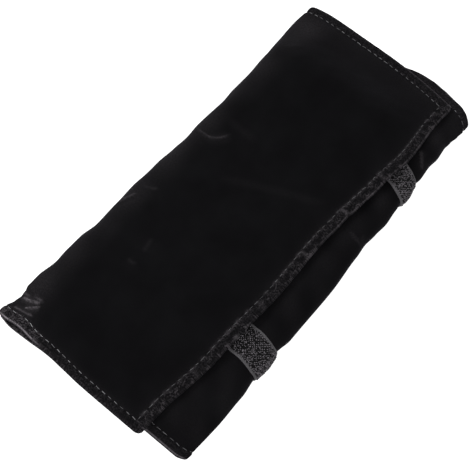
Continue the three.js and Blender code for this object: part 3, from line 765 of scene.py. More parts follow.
def woven(name, dark, light, pitch, sheen, shade_under_pile=None):
    """Plain woven band: threads over and under each other, darker under a pile, where the weave is painted
    shade.
    """
    paint = new_paint(name)
    where = paint.place()
    weave = paint.times(paint.bands(where, pitch, "X"), paint.bands(where, pitch * 0.8, "Y"))
    fuzz = paint.noise(where, 0.5, 3.0, 0.7)
    share = paint.times(paint.ramp(weave, 0, 1, 0.35, 1.0), paint.ramp(fuzz, 0.25, 0.75, 0.5, 1.2))
    shown = paint.mix(share, dark, light)
    # painted shade on the weave under a pile, away from the selvedges
    if shade_under_pile:
        shown = paint.mix(paint.mark("wear"), shade_under_pile, shown)
    paint.shade(Base_Color=shown, Roughness=paint.ramp(fuzz, 0.2, 0.8, 0.7, 0.95))
    paint.shade(Specular_IOR_Level=0.12, Sheen_Weight=sheen, Sheen_Roughness=0.5)
    paint.bump(paint.plus(weave, paint.times(fuzz, 0.4)), 0.12, 0.8)
    return paint.owner


def yarn(name, dark, light, sheen, specular):
    """Single threads, each a little lighter or darker, with the twist of the yarn."""
    paint = new_paint(name)
    twist = paint.noise(paint.place(), 0.6)
    share = paint.times(paint.mark("wear"), paint.ramp(twist, 0.3, 0.7, 0.7, 1.1))
    paint.shade(Base_Color=paint.mix(share, dark, light), Roughness=paint.ramp(twist, 0.3, 0.7, 0.5, 0.8))
    paint.shade(Specular_IOR_Level=specular, Sheen_Weight=sheen, Sheen_Roughness=0.5)
    paint.bump(twist, 0.06, 0.6)
    return paint.owner


def foam(name, dark, light):
    paint = new_paint(name)
    where = paint.solid_place()
    cells = paint.add("ShaderNodeTexVoronoi", Vector=where, Scale=1.4).outputs["Distance"]
    stain = paint.noise(where, 14)
    paint.shade(Base_Color=paint.mix(paint.plus(cells, stain), dark, light))
    paint.shade(Roughness=paint.ramp(cells, 0, 1, 0.8, 1.0), Specular_IOR_Level=0.1)
    paint.bump(cells, 0.3, 0.8)
    return paint.owner


def plated(name, dark, light):
    """Satin nickel plate with fine scratches and duller patches."""
    paint = new_paint(name)
    where = paint.solid_place()
    stretched = paint.add("ShaderNodeVectorMath", {"operation": "MULTIPLY"}, Vector=where)
    stretched.inputs[1].default_value = (6.0, 0.6, 3.0)
    scratches = paint.noise(stretched.outputs[0], 0.5, 4.0, 0.7)
    patches = paint.noise(where, 3.0)
    paint.shade(Base_Color=paint.mix(patches, dark, light), Metallic=1.0)
    paint.shade(Roughness=paint.ramp(paint.plus(scratches, patches), 0.6, 1.4, 0.2, 0.42))
    paint.bump(scratches, 0.015, 0.5)
    return paint.owner


def moulded(name, dark, light):
    """Matt moulded nylon with a fine grain."""
    paint = new_paint(name)
    where = paint.solid_place()
    grain = paint.noise(where, 0.25, 3.0)
    patches = paint.noise(where, 6.0)
    paint.shade(Base_Color=paint.mix(patches, dark, light), Roughness=paint.ramp(grain, 0.3, 0.7, 0.38, 0.6))
    paint.shade(Specular_IOR_Level=0.35)
    paint.bump(grain, 0.02, 0.5)
    return paint.owner


VELVET = pile_cloth(
    "velvet", (0.0047, 0.0045, 0.0051), (0.0062, 0.0061, 0.0068), (0.060, 0.0545, 0.0595),
    0.09, (0.80, 0.76, 0.90)
)
LINING_VELVET = pile_cloth(
    "lining", (0.0062, 0.0056, 0.0062), (0.0082, 0.0076, 0.0086), (0.060, 0.053, 0.0598),
    0.12, (0.80, 0.78, 0.90)
)
FOAM = foam("padding", (0.16, 0.155, 0.15), (0.3, 0.29, 0.28))
# painted shade on a loop tape's weave under its pile
SHADED_GROUND = (0.004, 0.004, 0.0045)
LOOP_WEAVE = woven("loop_weave", (0.045, 0.043, 0.047), (0.16, 0.155, 0.163), 0.7, 0.1, SHADED_GROUND)
LOOP_PILE = yarn("loop_pile", (0.003, 0.0028, 0.0032), (0.33, 0.308, 0.336), 0.05, 0.1)
HOOKS = yarn("hook_nylon", (0.014, 0.0135, 0.015), (0.04, 0.039, 0.041), 0.0, 0.4)
ZIP_WEAVE = woven("zip_weave", (0.005, 0.0046, 0.005), (0.016, 0.015, 0.016), 0.6, 0.1)
ZIP_NYLON = moulded("zip_nylon", (0.012, 0.0115, 0.012), (0.022, 0.021, 0.022))
NICKEL = plated("nickel", (0.45, 0.43, 0.4), (0.62, 0.6, 0.57))
ELASTIC = woven("elastic", (0.006, 0.0055, 0.006), (0.022, 0.021, 0.022), 0.9, 0.15)
THREAD_YARN = yarn("thread", (0.03, 0.03, 0.032), (0.6, 0.6, 0.62), 0.1, 0.2)
DARK_YARN = yarn("dark_thread", (0.012, 0.0115, 0.0125), (0.05, 0.05, 0.052), 0.1, 0.15)


def finish_piece(obj, material, stands_for=(), body=None):
    obj.data.materials.append(material)
    if stands_for:
        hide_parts(*stands_for)
    if body:
        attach(obj, body)


def sew(name, lines, seed, kind, material=THREAD_YARN, body=None):
    """Finished stitches along lines, on the given body if there is one."""
    sewn = stitches(f"{name}_stitches", lines, seed, kind)
    finish_piece(sewn, material, (), body)
    return sewn


def seams(grid, height, places, pale=PALE_INSIDE):
    """Stitch lines on the inner side of a grid, at the given rows and columns."""
    points, out = grid.raised(height), -grid.out
    return [(points[place], out[place], pale) for place in places]


def bend(obj):
    """Bake the object's transform into its mesh."""
    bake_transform(obj)


# Velvet cover

FLAP_STEP = 1.1
FRONT_STEP = 1.4
BASE_STEP = 2.0


def cover_depth(grid):
    """Thickness of the cover: one layer of velvet, and the turned hem along the edges."""
    return COVER + (HEM - COVER) * smooth((HEM_SHOWN + HEM_STEP - grid.inset) / HEM_STEP)


def by_stitches(grid, half=SEAM_HALF):
    """1 along a hem's stitches, fading over a half width beside them."""
    return bell((grid.inset - STITCH_INSET) / half)


def hem_form(grid):
    """Height of a hem: sunk at its stitches, puffed up beside them, puckered and crumpled."""
    along = np.where(grid.free, grid.y, grid.x)
    groove = -0.55 * by_stitches(grid)
    puff = 0.3 * np.sin(math.pi * np.clip(grid.inset / STITCH_INSET, 0, 1))
    pucker = 0.16 * np.cos(2 * math.pi * along / STITCH_PITCH) * by_stitches(grid, 2.4)
    crumple = grid.uneven(9, HEM_SEED) + grid.uneven(4.2, HEM_SEED + 1)
    crumple = crumple * np.where(grid.free, 0.2, 0.12) * smooth((STITCH_INSET + 1.0 - grid.inset) / 1.5)
    edge_held = np.where(grid.free, 1.0, 0.25 + 0.75 * grid.inward(HEM_INSETS[0], 3))
    return groove + puff + pucker + crumple * edge_held


def near_tip(grid):
    """1 at the near end of the back fold, where the hems are pinched."""
    return smooth((-38 - grid.x) / 12) * (grid.y < 0)


def near_front(grid):
    """1 at the near end of the front fold."""
    return smooth((grid.x - 22) / 8) * (grid.y < 0)


def hem_wear(grid):
    """Where the pile is crushed: over the hems, most along their edges, and more on a free edge; the
    lightness along the edges is partly crushed pile and partly a painted highlight where the rims catch
    light.
    """
    tip = near_tip(grid)
    band = smooth((STITCH_INSET + 0.5 - grid.inset) / 1.0) * (1 + 1.4 * tip)
    # crushed pile along the edges, and partly a painted highlight there
    rim = bell((grid.inset - HEM_INSETS[0]) / np.where(grid.free, 1.4, 0.9))
    seam = by_stitches(grid) * (1 + 2 * tip)
    gathers = np.clip(0.9 + 0.75 * undulation(1.5 * grid.x, grid.y, GATHER, 41), 0.25, 1.8)
    puckers = 0.7 + tip * np.clip(0.5 + 0.9 * undulation(grid.x, 0.3 * grid.y, GATHER, 43), -0.3, 1.6)
    corner = np.exp(-(grid.edge_inset**2 + grid.end_inset**2) / CORNER_WEAR**2)
    along = np.where(grid.free, gathers, puckers) + 1.1 * corner
    return along * (0.58 * band + 0.5 * rim + 0.3 * seam) * (1 - 0.45 * near_front(grid) * (~grid.free))


def painted_rim_highlights(grid, panel):
    """How strong the painted highlight lines are along the edges of the ends, and along the flap's free edge.
    """
    highlight_level = 0.1 + 5.9 * near_tip(grid)
    if panel == "flap":
        free = grid.free * np.clip(0.2 + 0.8 * grid.uneven(12, 38), 0, 1.2)
        return highlight_level + 0.8 * smooth((grid.x + 12) / 30) * (grid.y > 0) * (free == 0) + free
    if panel == "front_panel":
        return highlight_level + 1.8 * near_front(grid)
    return highlight_level


def painted_free_hem_highlights(grid):
    """Painted highlights on the free edge's hem: a broken one along its stitches, and the pinches across it.
    """
    broken = np.clip(0.5 + 0.6 * undulation(0 * grid.y, grid.y, 9, 39), 0, 1.2)
    seam = 0.5 * broken * by_stitches(grid)
    hem = smooth((STITCH_INSET + 1 - grid.inset) / 2)
    pinches = sum(highlight_level * bell((grid.y - y) / 0.9) for y, highlight_level in FREE_PINCHES)
    return grid.free * (seam + hem * pinches)


def crease_forms(grid, creases):
    """Height of creases in the velvet, and the painted highlight on the crushed pile along their ridges."""
    form, painted_sheen = 0 * grid.x, 0 * grid.x
    t = np.linspace(0, 1, CREASE_STEPS)[:, None]
    for start, middle, end, width, height, highlight_level in creases:
        turn = 2 * np.array(middle) - (np.array(start) + np.array(end)) / 2
        path = (1 - t) ** 2 * np.array(start) + 2 * t * (1 - t) * turn + t**2 * np.array(end)
        dx, dy = grid.x[..., None] - path[:, 0], grid.y[..., None] - path[:, 1]
        step = np.argmin(dx**2 + dy**2, axis=2)
        dx, dy = (np.take_along_axis(d, step[..., None], 2)[..., 0] for d in (dx, dy))
        ways = unit(np.gradient(path, axis=0))[step]
        off = np.hypot(dx, dy) * np.sign(dx * ways[..., 1] - dy * ways[..., 0])
        fade = smooth(step / 6) * smooth((CREASE_STEPS - 1 - step) / 6)
        hollow = 0.5 * bell((off - 2.4 * width) / (1.6 * width))
        form = form + height * fade * (bell(off / width) - hollow)
        # a painted highlight on the ridge, and a fainter, wider painted highlight round it
        painted_sheen = np.maximum(painted_sheen, highlight_level * fade * bell(off / (0.8 * width)))
        painted_sheen = np.maximum(painted_sheen, 0.18 * highlight_level * fade * bell(off / (4 * width)))
    return form, painted_sheen


def painted_fold_sheen(grid):
    """Painted sheen along the back fold, which makes the velvet there lighter than the rest."""
    band = smooth((-40 - grid.x + skew(grid.y)) / 18) * (grid.z > 2)
    return PAINTED_FOLD_SHEEN * band * np.clip(0.8 + 0.3 * grid.uneven(34, 36), 0.3, 1.4)


def painted_end_sheen(grid):
    """Painted sheen on the flap's far slope and beside the stitches, which makes the velvet lighter there."""
    slope = 0.06 * smooth((grid.y - 112) / 26) * grid.inward(STITCH_INSET, 3)
    beside = 0.05 * np.exp(-np.abs(grid.inset - STITCH_INSET - 1) / 2.5) * (grid.inset > STITCH_INSET)
    return slope + beside


def hem_lines(grid, height, edge, pale_ends):
    """The stitch lines of a sheet's hems, seen from outside and from inside."""
    lines = []
    rows, columns = grid.x.shape
    stop = columns - STITCH_INDEX if edge else columns
    for points, out in ((grid.raised(height), grid.out), (grid.raised(-cover_depth(grid)), -grid.out)):
        for row, pale in zip((STITCH_INDEX, rows - 1 - STITCH_INDEX), pale_ends):
            lines.append((points[row, :stop], out[row, :stop], pale))
        if edge:
            column = columns - 1 - STITCH_INDEX
            along = slice(STITCH_INDEX, rows - STITCH_INDEX)
            lines.append((points[along, column], out[along, column], PALE_EDGE))
    return lines


def cover_piece(name, grid, extra, painted_sheen, panel, nodes, seed):
    """One piece of the velvet cover with the stitches of its hems."""
    edge = panel != "base"
    height = hem_form(grid) + extra * grid.ease
    height = np.where(grid.z < 0.01, np.minimum(height, 0) * 0.5, height)
    profile = UPPER_RIM_HIGHLIGHT if edge else LOWER_RIM_HIGHLIGHT
    # painted highlight lines on the rims
    lines = painted_rim_highlights(grid, panel)
    velvet = shell(
        name, grid, height, -cover_depth(grid), (1, 1, 0, int(edge)), hem_wear(grid), painted_sheen, lines, profile
    )
    finish_piece(velvet, VELVET, nodes)
    seam = sew(name, hem_lines(grid, height, edge, PALE_ENDS[panel]), seed, HEM_STITCH)
    bend(velvet)
    bend(seam)


def make_cover():
    top = upper_sheet(BACK, HEM_INSETS, FLAP_STEP, FLAP_CORNER)
    inside = top.inward(4, 8)
    fine = 0.10 * top.uneven(16, 31) * inside
    creases, painted_sheen = crease_forms(top, FLAP_CREASES)
    creases = creases * top.inward(2, 6)
    # painted highlights on the creases and the free hem, painted sheen on the back fold and the far slope
    painted_sheen = np.maximum(painted_sheen, painted_fold_sheen(top)) * inside + painted_end_sheen(top) + painted_free_hem_highlights(top)
    nodes = ("flap_cover", "back_fold_cover")
    cover_piece("velvet_top", top, creases + fine, painted_sheen, "flap", nodes, seed=1)
    front = upper_sheet(FRONT, HEM_INSETS, FRONT_STEP, FRONT_CORNER)
    fine = 0.15 * front.uneven(14, 33) * (1 - tape_hold(front.y))
    creases, crease_highlights = crease_forms(front, FRONT_CREASES)
    # painted sheen, uneven over the front panel and stronger on its far slope, with painted highlights on its
    # creases
    painted_sheen = np.clip(0.03 + 0.02 * front.uneven(22, 37), 0, 0.1)
    painted_sheen = painted_sheen + 0.05 * smooth((front.y - 95) / 25) * front.inward(2, 5)
    painted_sheen = np.maximum(painted_sheen, crease_highlights)
    nodes = ("front_panel_cover", "front_fold_cover")
    cover_piece("velvet_front", front, creases + fine, painted_sheen, "front_panel", nodes, seed=2)
    low_back = lower_sheet(BACK, HEM_INSETS, BASE_STEP)
    # painted sheen along the back fold
    painted_sheen = painted_fold_sheen(low_back) * low_back.inward(4, 8)
    cover_piece("velvet_base_back", low_back, 0, painted_sheen, "base", ("base_cover",), seed=3)
    low_front = lower_sheet(FRONT, HEM_INSETS, BASE_STEP)
    cover_piece("velvet_base_front", low_front, 0, 0, "base", ("base_cover",), seed=4)


# Padding and lining

LINING_INSETS = (9.3, 10.1, 11.2, 12.6)  # from the cover's edge
LINING_STEP = 2.0
PADDING_END = high("base_padding")[1]
FLAP_PADDING_EDGE = high("flap_padding")[0] - skew(high("flap_padding")[1])
FRONT_PADDING_EDGE = low("front_panel_padding")[0]


def pad_start(y):
    return back_crease(y) + PAD_START


def flap_pad_stop(y):
    return FLAP_PADDING_EDGE + skew(y)


PAD_STOP = FRONT_CREASE - PAD_START
PAD_SPANS = {
    "flap": (pad_start, flap_pad_stop),
    "front_panel": (FRONT_PADDING_EDGE, PAD_STOP),
    "base": (pad_start, PAD_STOP),
}


def padded_share(grid, panel):
    """1 where a panel's padding lies, 0 beside it."""
    first, last = (edge(grid.y) if callable(edge) else edge for edge in PAD_SPANS[panel])
    across = smooth((grid.x - first) / PAD_SLOPE) * smooth((last - grid.x) / PAD_SLOPE)
    return across * smooth((PADDING_END - np.abs(grid.y)) / PAD_SLOPE)


def lining_piece(name, grid, panel, nodes):
    depth = LINING_DEPTH + (PADDING + GAP) * padded_share(grid, panel)
    quilt = 0.12 * grid.uneven(20, 41)
    rounded = (1, 1, 0, int(panel != "base"))
    lining = shell(name, grid, -depth, -depth - LINING - quilt * 0.5 - 0.06, rounded)
    finish_piece(lining, LINING_VELVET, nodes)
    bend(lining)


def make_lining():
    for name, fold, panel, nodes, cut in (
        ("lining_top", BACK, "flap", ("flap_lining", "back_fold_lining"), 122),
        ("lining_front", FRONT, "front_panel", ("front_panel_lining", "front_fold_lining"), 65),
        ("lining_base_back", BACK, "base", ("base_lining",), 71),
        ("lining_base_front", FRONT, "base", ("base_lining",), 68),
    ):
        lie = lower_sheet if panel == "base" else upper_sheet
        lining_piece(name, lie(fold, LINING_INSETS, LINING_STEP), panel, nodes)


def make_padding():
    for panel, fold in (("flap", BACK), ("front_panel", FRONT), ("base", None)):
        node = f"{panel}_padding"
        grid = panel_grid(fold, *PAD_SPANS[panel], -PADDING_END, PADDING_END, step=3.0)
        soft = 0.1 * grid.uneven(25, 51)
        bottom = -LINING_DEPTH - 0.25 - (PADDING - 0.4 + soft) * grid.inward(0, PAD_SLOPE)
        pad = shell(f"{node}_foam", grid, -LINING_DEPTH - 0.05, bottom)
        finish_piece(pad, FOAM, (node,), panel)


# Hook-and-loop closure

SELVEDGE = 2.8  # beside the hooks
LOOPS_START = 1.3  # from a loop tape's edge to its pile
LOOP_PITCH = 0.86
LOOP_YARN = 0.165
LOOP_JITTER = 0.08
DARK_LOOP = 0.03
TURNED_SHADE = 0.15  # share of the loops that aren't light and dark in turn
TAPE_WEAVE = 0.7  # thickness of a loop tape's weave
LOOP_TAPE = 1.8  # and of the whole tape
HOOK_TAPE = 1.4
HOOK_SEAM = 1.4  # from a hook tape's edge to its stitches
HOOK_ROWS = 1.1  # from one row of hooks to the next
HOOK_PITCH = 0.95
HOOK_END = 0.8  # from a hook tape's end to its hooks
HOOK_WIRE = 0.1
HOOK_RISE = (0.0, 0.55, 0.9, 1.0, 0.86, 0.66)  # how high a hook is along its wire
HOOK_BENT = (0.0, 0.0, 0.12, 0.32, 0.52, 0.56)  # and how far it bends over
LOOP_ROWS = 31
LOOP_COLUMNS = (14, 34)  # round the lower and the upper part of the fold
LOOP_STEP = 0.7
LEAN_START = 71  # where a loop tape starts to lean on its way from the fold to the flap
LEAN_LENGTH = 14
LOOP_LOW_ANGLE = -math.asin((FRONT_TOP / 2 - GAP) / (FRONT_TOP / 2 + GAP + LOOP_TAPE))

# How each loop tape lies: how wide it shows, how far along y at the flap's edge and on the fold, its puff
TAPE_LIES = {"near": (1.0, 0.2, -1.8, 0.3), "far": (0.87, 1.2, -2.2, 1.1)}


def loop_grid(side, middle, last_x, lower):
    """The lie of a loop tape round the front fold: its lower part, or its upper part and the panel."""
    share, top_lean, fold_lean, _ = TAPE_LIES[side]
    half = share * TAPE_WIDTH / 2
    across = np.linspace(-half, half, LOOP_ROWS)[:, None]
    y = middle + across
    if lower:
        angles = np.linspace(LOOP_LOW_ANGLE, SEAM_ANGLE, LOOP_COLUMNS[0])[None, :]
        flat = np.zeros((len(y), 0))
    else:
        angles = np.linspace(SEAM_ANGLE, math.pi / 2, LOOP_COLUMNS[1])[None, :-1]
        count = round((FRONT_CREASE - last_x) / LOOP_STEP)
        flat = np.linspace(FRONT_CREASE, last_x, count)[None, :] + 0 * y
    x = np.hstack([FRONT_CREASE + FRONT.reach(y) * np.cos(angles), flat])
    on_panel = 0 * x if lower else smooth((LEAN_START - x) / LEAN_LENGTH)
    y = y + fold_lean + (top_lean - fold_lean) * on_panel
    turned = angles.shape[1]
    x[:, :turned] = FRONT_CREASE + FRONT.reach(y[:, :turned]) * np.cos(angles)
    return wrapped(FRONT, x, y, angles, half - np.abs(across) + 0 * x, np.full(x.shape, NO_EDGE))


def loops(name, grid, foot, height, seed):
    """Loop pile between the selvedges: small leaning arcs of yarn, standing close together."""
    random = np.random.default_rng(seed)
    points = grid.raised(foot)
    rows, columns = grid.x.shape
    row_size = np.linalg.norm(points[1, 0] - points[0, 0])
    column_size = line_lengths(points[rows // 2])[-1] / (columns - 1)
    first = LOOPS_START / row_size
    across = np.arange(first, rows - 1 - first, LOOP_PITCH / row_size)
    along = np.arange(0.3, columns - 1.3, LOOP_PITCH / column_size)
    light = np.add.outer(np.arange(len(across)), np.arange(len(along))).ravel() % 2
    i, j = (value.ravel() for value in np.meshgrid(across, along, indexing="ij"))
    i = i + random.normal(0, LOOP_JITTER / row_size, i.shape)
    j = np.clip(j + random.normal(0, LOOP_JITTER / column_size, j.shape), 0, columns - 1)
    base = sample(points, i, j)[:, None]
    up = unit(sample(grid.out, i, j))[:, None]
    lengthways = unit(sample(np.gradient(points, axis=1), i, j))[:, None]
    crossways = np.cross(up, lengthways)
    each = (len(i), 1, 1)
    turn = random.uniform(0, math.pi, each)
    way = lengthways * np.cos(turn) + crossways * np.sin(turn)
    aside = crossways * np.cos(turn) - lengthways * np.sin(turn)
    t = np.linspace(-0.1 * math.pi, 1.1 * math.pi, 6)[None, :, None]
    tall = height * random.uniform(0.6, 1.0, each)
    wide = random.uniform(0.2, 0.32, each)
    lean = random.normal(0, 0.3, each)
    paths = base + way * wide * np.cos(t) + (up + aside * lean) * tall * np.sin(t)
    light = np.where(random.uniform(0, 1, len(i)) < TURNED_SHADE, 1 - light, light)
    pale = np.where(light, 1.0, DARK_LOOP) * random.uniform(0.6, 1, len(i))
    return tubes(name, paths, LOOP_YARN, 5, pale)


def loop_part(node, grid, puff, rounded, seed):
    puff = puff * (1 - (1 - grid.edge_inset / grid.edge_inset.max()) ** 2)
    puff = puff * smooth((grid.x - 60) / 8) * smooth(grid.z / 9)
    bead = 0.12 * bell((grid.edge_inset - 0.5) / 0.5)
    weave = 0.05 * grid.uneven(6, seed)
    # 1 on the selvedges, 0 under the pile, where the weave is painted shade
    selvedge = smooth((LOOPS_START + 0.1 - grid.edge_inset) / 0.4)
    band = shell(f"{node}_weave", grid, GAP + TAPE_WEAVE + bead + weave + puff, 0.06, rounded, selvedge)
    finish_piece(band, LOOP_WEAVE, (node,))
    foot = GAP + TAPE_WEAVE - 0.05 + puff
    pile = loops(f"{node}_pile", grid, foot, LOOP_TAPE - TAPE_WEAVE, seed)
    finish_piece(pile, LOOP_PILE)
    bend(band)
    bend(pile)
    return band, pile


def loop_tape(side, middle, seed):
    """A tape sewn round the front fold; its weave shows as selvedges on both sides of the pile."""
    panel_node, fold_node = f"loop_tape_{side}_panel", f"loop_tape_{side}_fold"
    last_x = low(panel_node)[0]
    upper = loop_grid(side, middle, last_x, lower=False)
    lower = loop_grid(side, middle, last_x, lower=True)
    puff = TAPE_LIES[side][-1]
    band, pile = loop_part(panel_node, upper, puff, (1, 1, 0, 1), seed)
    others = loop_part(fold_node, lower, puff, (1, 1, 1, 0), seed + 10)


def hooks(name, grid, foot, height, seed):
    """Rows of small hooks that bend over to one side and the other in turn."""
    random = np.random.default_rng(seed)
    points = grid.raised(foot)
    rows, columns = grid.x.shape
    row_size = np.linalg.norm(points[1, 0] - points[0, 0])
    column_size = np.linalg.norm(points[0, 1] - points[0, 0])
    across = np.arange(SELVEDGE / row_size, rows - 1 - SELVEDGE / row_size, HOOK_ROWS / row_size)
    end = HOOK_END / column_size
    along = np.arange(end, columns - 1 - end, HOOK_PITCH / column_size)
    i, j = np.meshgrid(across, along, indexing="ij")
    way = np.where((np.arange(len(across)) % 2)[:, None] > 0, 1.0, -1.0) + 0 * j
    i, j, way = i.ravel(), j.ravel(), way.ravel()[:, None, None]
    base = sample(points, i, j)[:, None]
    down = -grid.out[0, 0]
    side = np.array([0.0, 1.0, 0.0])
    rise_share = np.array(HOOK_RISE)[None, :, None]
    bent = np.array(HOOK_BENT)[None, :, None]
    wobble = random.uniform(0.9, 1.05, (len(i), 1, 1))
    paths = base + down * height * rise_share * wobble + side * way * bent
    return tubes(name, paths, HOOK_WIRE, 5, random.uniform(0, 1, len(i)))


def places_round(grid, inset):
    """Rows and columns of a grid at about an inset from its edges."""
    x, y = grid.x[0], grid.y[:, 0]
    columns = [nearest(x - x[0], inset), nearest(x[-1] - x, inset)]
    rows = [nearest(y - y[0], inset), nearest(y[-1] - y, inset)]
    across, along = slice(columns[0], columns[1] + 1), slice(rows[0], rows[1] + 1)
    return [(row, across) for row in rows] + [(along, column) for column in columns]


def hook_tape(side, seed):
    node = f"hook_tape_{side}"
    grid, corner, far = box_grid(node, step=0.8, fold=BACK)
    top = -(LINING_DEPTH + LINING + GAP)
    bead = 0.1 * bell((grid.inset - 0.5) / 0.5)
    weave = 0.05 * grid.uneven(6, seed)
    band = shell(f"{node}_weave", grid, top + 0.1, top - 0.5 - bead - weave)
    finish_piece(band, ZIP_WEAVE, (node,), "flap")
    stand = hooks(f"{node}_hooks", grid, top - 0.45, HOOK_TAPE - 0.5, seed)
    finish_piece(stand, HOOKS, (), "flap")
    lines = seams(grid, top - 0.6, places_round(grid, HOOK_SEAM), pale=1.0)
    sewn = sew(node, lines, seed, TAPE_STITCH, DARK_YARN, "flap")


def make_closure():
    for seed, (side, middle) in enumerate(zip(("near", "far"), TAPE_MIDDLES)):
        loop_tape(side, middle, 61 + seed)
        hook_tape(side, 71 + seed)


# Ring rolls

RING_TONGUE = 2.2  # height of a bar's flat ends
RING_TONGUE_LENGTH = 12
RING_SHOULDER = 16  # length from a flat end to the full bar
RING_SIDES = 32
RING_ROWS = 130
RING_ROUNDNESS = 0.78  # 1 is an ellipse, less is squarer
RING_NODES = ("ring_roll_1", "ring_roll_2", "ring_roll_3")
RING_SLACK = 0.9  # width and height of a bar before it is stuffed, as shares of its place
STUFF_SCALE = 20  # the simulated cloth is enlarged, because the solver is made for larger pieces
STUFF_FRAMES = 20
STUFF_MOVE = 1.6  # the furthest that stuffing moves a point
BAND_CLOTH = 0.62
BAND_SEAM = 1.6  # from a band's ends to the stitches there


def stuffed(points, faces, held, corner, far):
    """Points of a cloth tube after stuffing, by a cloth simulation with pressure inside and sewn ends."""
    scene = bpy.context.scene
    cloth = mesh_object("stuffing", points.reshape(-1, 3) * STUFF_SCALE, faces)
    cloth.vertex_groups.new(name="sewn").add(np.flatnonzero(held).tolist(), 1.0, "REPLACE")
    solver = cloth.modifiers.new("stuffing", "CLOTH")
    solver.settings.vertex_group_mass = "sewn"
    solver.settings.use_pressure = True
    solver.settings.uniform_pressure_force = 4
    solver.settings.shrink_min = -0.035
    solver.settings.bending_stiffness = 0.2
    solver.settings.effector_weights.gravity = 0
    solver.collision_settings.use_collision = False
    solver.point_cache.frame_end = STUFF_FRAMES
    for number in range(1, STUFF_FRAMES + 1):
        scene.frame_set(number)
    result = cloth.evaluated_get(bpy.context.evaluated_depsgraph_get()).data
    places = np.empty(points.size, dtype=np.float32)
    result.vertices.foreach_get("co", places)
    bpy.data.objects.remove(cloth, do_unlink=True)
    scene.frame_set(1)
    move = places.reshape(points.shape) / (MM * STUFF_SCALE) - points
    share = STUFF_MOVE / np.maximum(np.linalg.norm(move, axis=2, keepdims=True), STUFF_MOVE)
    return np.clip(points + np.round(move * share, 2), corner + 0.05, far - 0.05)


def ring_roll(node, seed):
    """A stuffed bar that rings go over, flattened to a sewn tongue at each end."""
    corner, far = low(node), high(node)
    y = np.linspace(corner[1], far[1], RING_ROWS)[:, None]
    from_end = far[1] - np.abs(y)
    full = smooth((from_end - RING_TONGUE_LENGTH) / RING_SHOULDER)
    turn = np.arange(RING_SIDES)[None, :] * 2 * math.pi / RING_SIDES
    across = np.sign(np.cos(turn)) * np.abs(np.cos(turn)) ** RING_ROUNDNESS
    upward = np.sign(np.sin(turn)) * np.abs(np.sin(turn)) ** RING_ROUNDNESS
    tall = RING_TONGUE + (RING_SLACK * (far[2] - corner[2]) - RING_TONGUE) * full
    gather = bell((from_end - RING_TONGUE_LENGTH - 9) / 6) * np.sin(9 * turn + seed)
    soft = 1 - 0.012 * (1 + undulation(y + 0 * turn, turn * 7, 34, seed))
    soft = soft - 0.03 * (1 + gather) * (upward > -0.5)
    half = (far[0] - corner[0]) / 2 * (1 - (1 - RING_SLACK) * full)
    x = (corner[0] + far[0]) / 2 + half * across * soft
    z = corner[2] + tall * (1 + upward) / 2 * np.where(upward > 0, soft, 1)
    points = np.stack([x, y + 0 * x, z + 0 * x], axis=2)
    faces = tube_faces(RING_ROWS, RING_SIDES)[:, ::-1].tolist()
    held = (from_end < RING_TONGUE_LENGTH) | (upward < -0.8)
    points = stuffed(points, faces, held, corner, far)
    cap = np.arange(RING_SIDES)
    faces += [cap.tolist(), ((RING_ROWS - 1) * RING_SIDES + cap)[::-1].tolist()]
    obj = mesh_object(f"{node}_velvet", points.reshape(-1, 3), faces)
    places = np.stack([turn * 5 + 0 * y, y + 0 * turn, 0 * y + 0 * turn], axis=2)
    put_attribute(obj, "cloth", places.reshape(-1, 3))
    wear = 0.25 * bell((from_end - RING_TONGUE_LENGTH - 8) / 7) + 0 * turn
    put_attribute(obj, "wear", wear.ravel())
    finish_piece(obj, LINING_VELVET, (node,), "base")


def ring_band(side, seed):
    """A strip sewn over the tongues of the ring rolls."""
    node = f"ring_band_{side}"
    grid, corner, far = box_grid(node, step=0.7)
    over = corner[2] + (far[2] - corner[2] - 0.8) * smooth((grid.edge_inset - 0.2) / 2.0)
    gaps = [(high(one)[0] + low(other)[0]) / 2 for one, other in zip(RING_NODES, RING_NODES[1:])]
    over = over - 0.45 * sum(bell((grid.x - gap) / 0.7) for gap in gaps)
    height = -over - BAND_CLOTH - 0.08 * (1 + grid.uneven(7, seed))
    band = shell(f"{node}_cloth", grid, -over, height, wear=0.5 * bell(grid.inset / 1.2))
    finish_piece(band, LINING_VELVET, (node,), "base")
    ends = [corner[0] + BAND_SEAM, far[0] - BAND_SEAM]
    places = [np.s_[1:-1, nearest(grid.x[0], place)] for place in gaps + ends]
    lines = seams(grid, height, places)
    sewn = sew(node, lines, seed, BAND_STITCH, body="base")


def make_ring_rolls():
    for seed, node in enumerate(RING_NODES):
        ring_roll(node, 81 + seed)
    ring_band("near", 85)
    ring_band("far", 86)


# Pockets

POCKET_SHEET = 0.7
POCKET_SEAM = 2.5
POCKET_SAG = 1.0
POCKET_DEPTH = PANEL + GAP  # from a panel's outside to its pocket
NARROW_STRIP = 10  # narrower cloth beside the zip has no stitches along its ends
ZIP_TAPE_TOP = high("zip_tape_inner")[2]
FLOOR_LEVEL = low("zip_pocket_front")[2]  # of the fittings, on the base's lining


def gathered(grid, length, seed):
    """Even gathers along y, from 0 to 2."""
    return 1 + np.sin(grid.y * 2 * math.pi / length + 1.6 * undulation(0 * grid.y, grid.y, 60, seed))


def pocket_elastic(node, fold, first, last, body, seed):
    grid = panel_grid(fold, first, last, -FITTINGS_END, FITTINGS_END, step=0.6)
    rib = 0.09 * np.cos(2 * math.pi * (grid.x - grid.x[:, :1]) / 1.0)
    folds = 0.22 * gathered(grid, 3.7, seed) * smooth(grid.end_inset / 5)
    top = -POCKET_DEPTH - POCKET_SAG / 2 * smooth(grid.end_inset / 8) - folds * 0.4
    band = shell(f"{node}_band", grid, top, top - 0.85 - rib - folds * 0.5)
    finish_piece(band, ELASTIC, (node,), body)
    return band


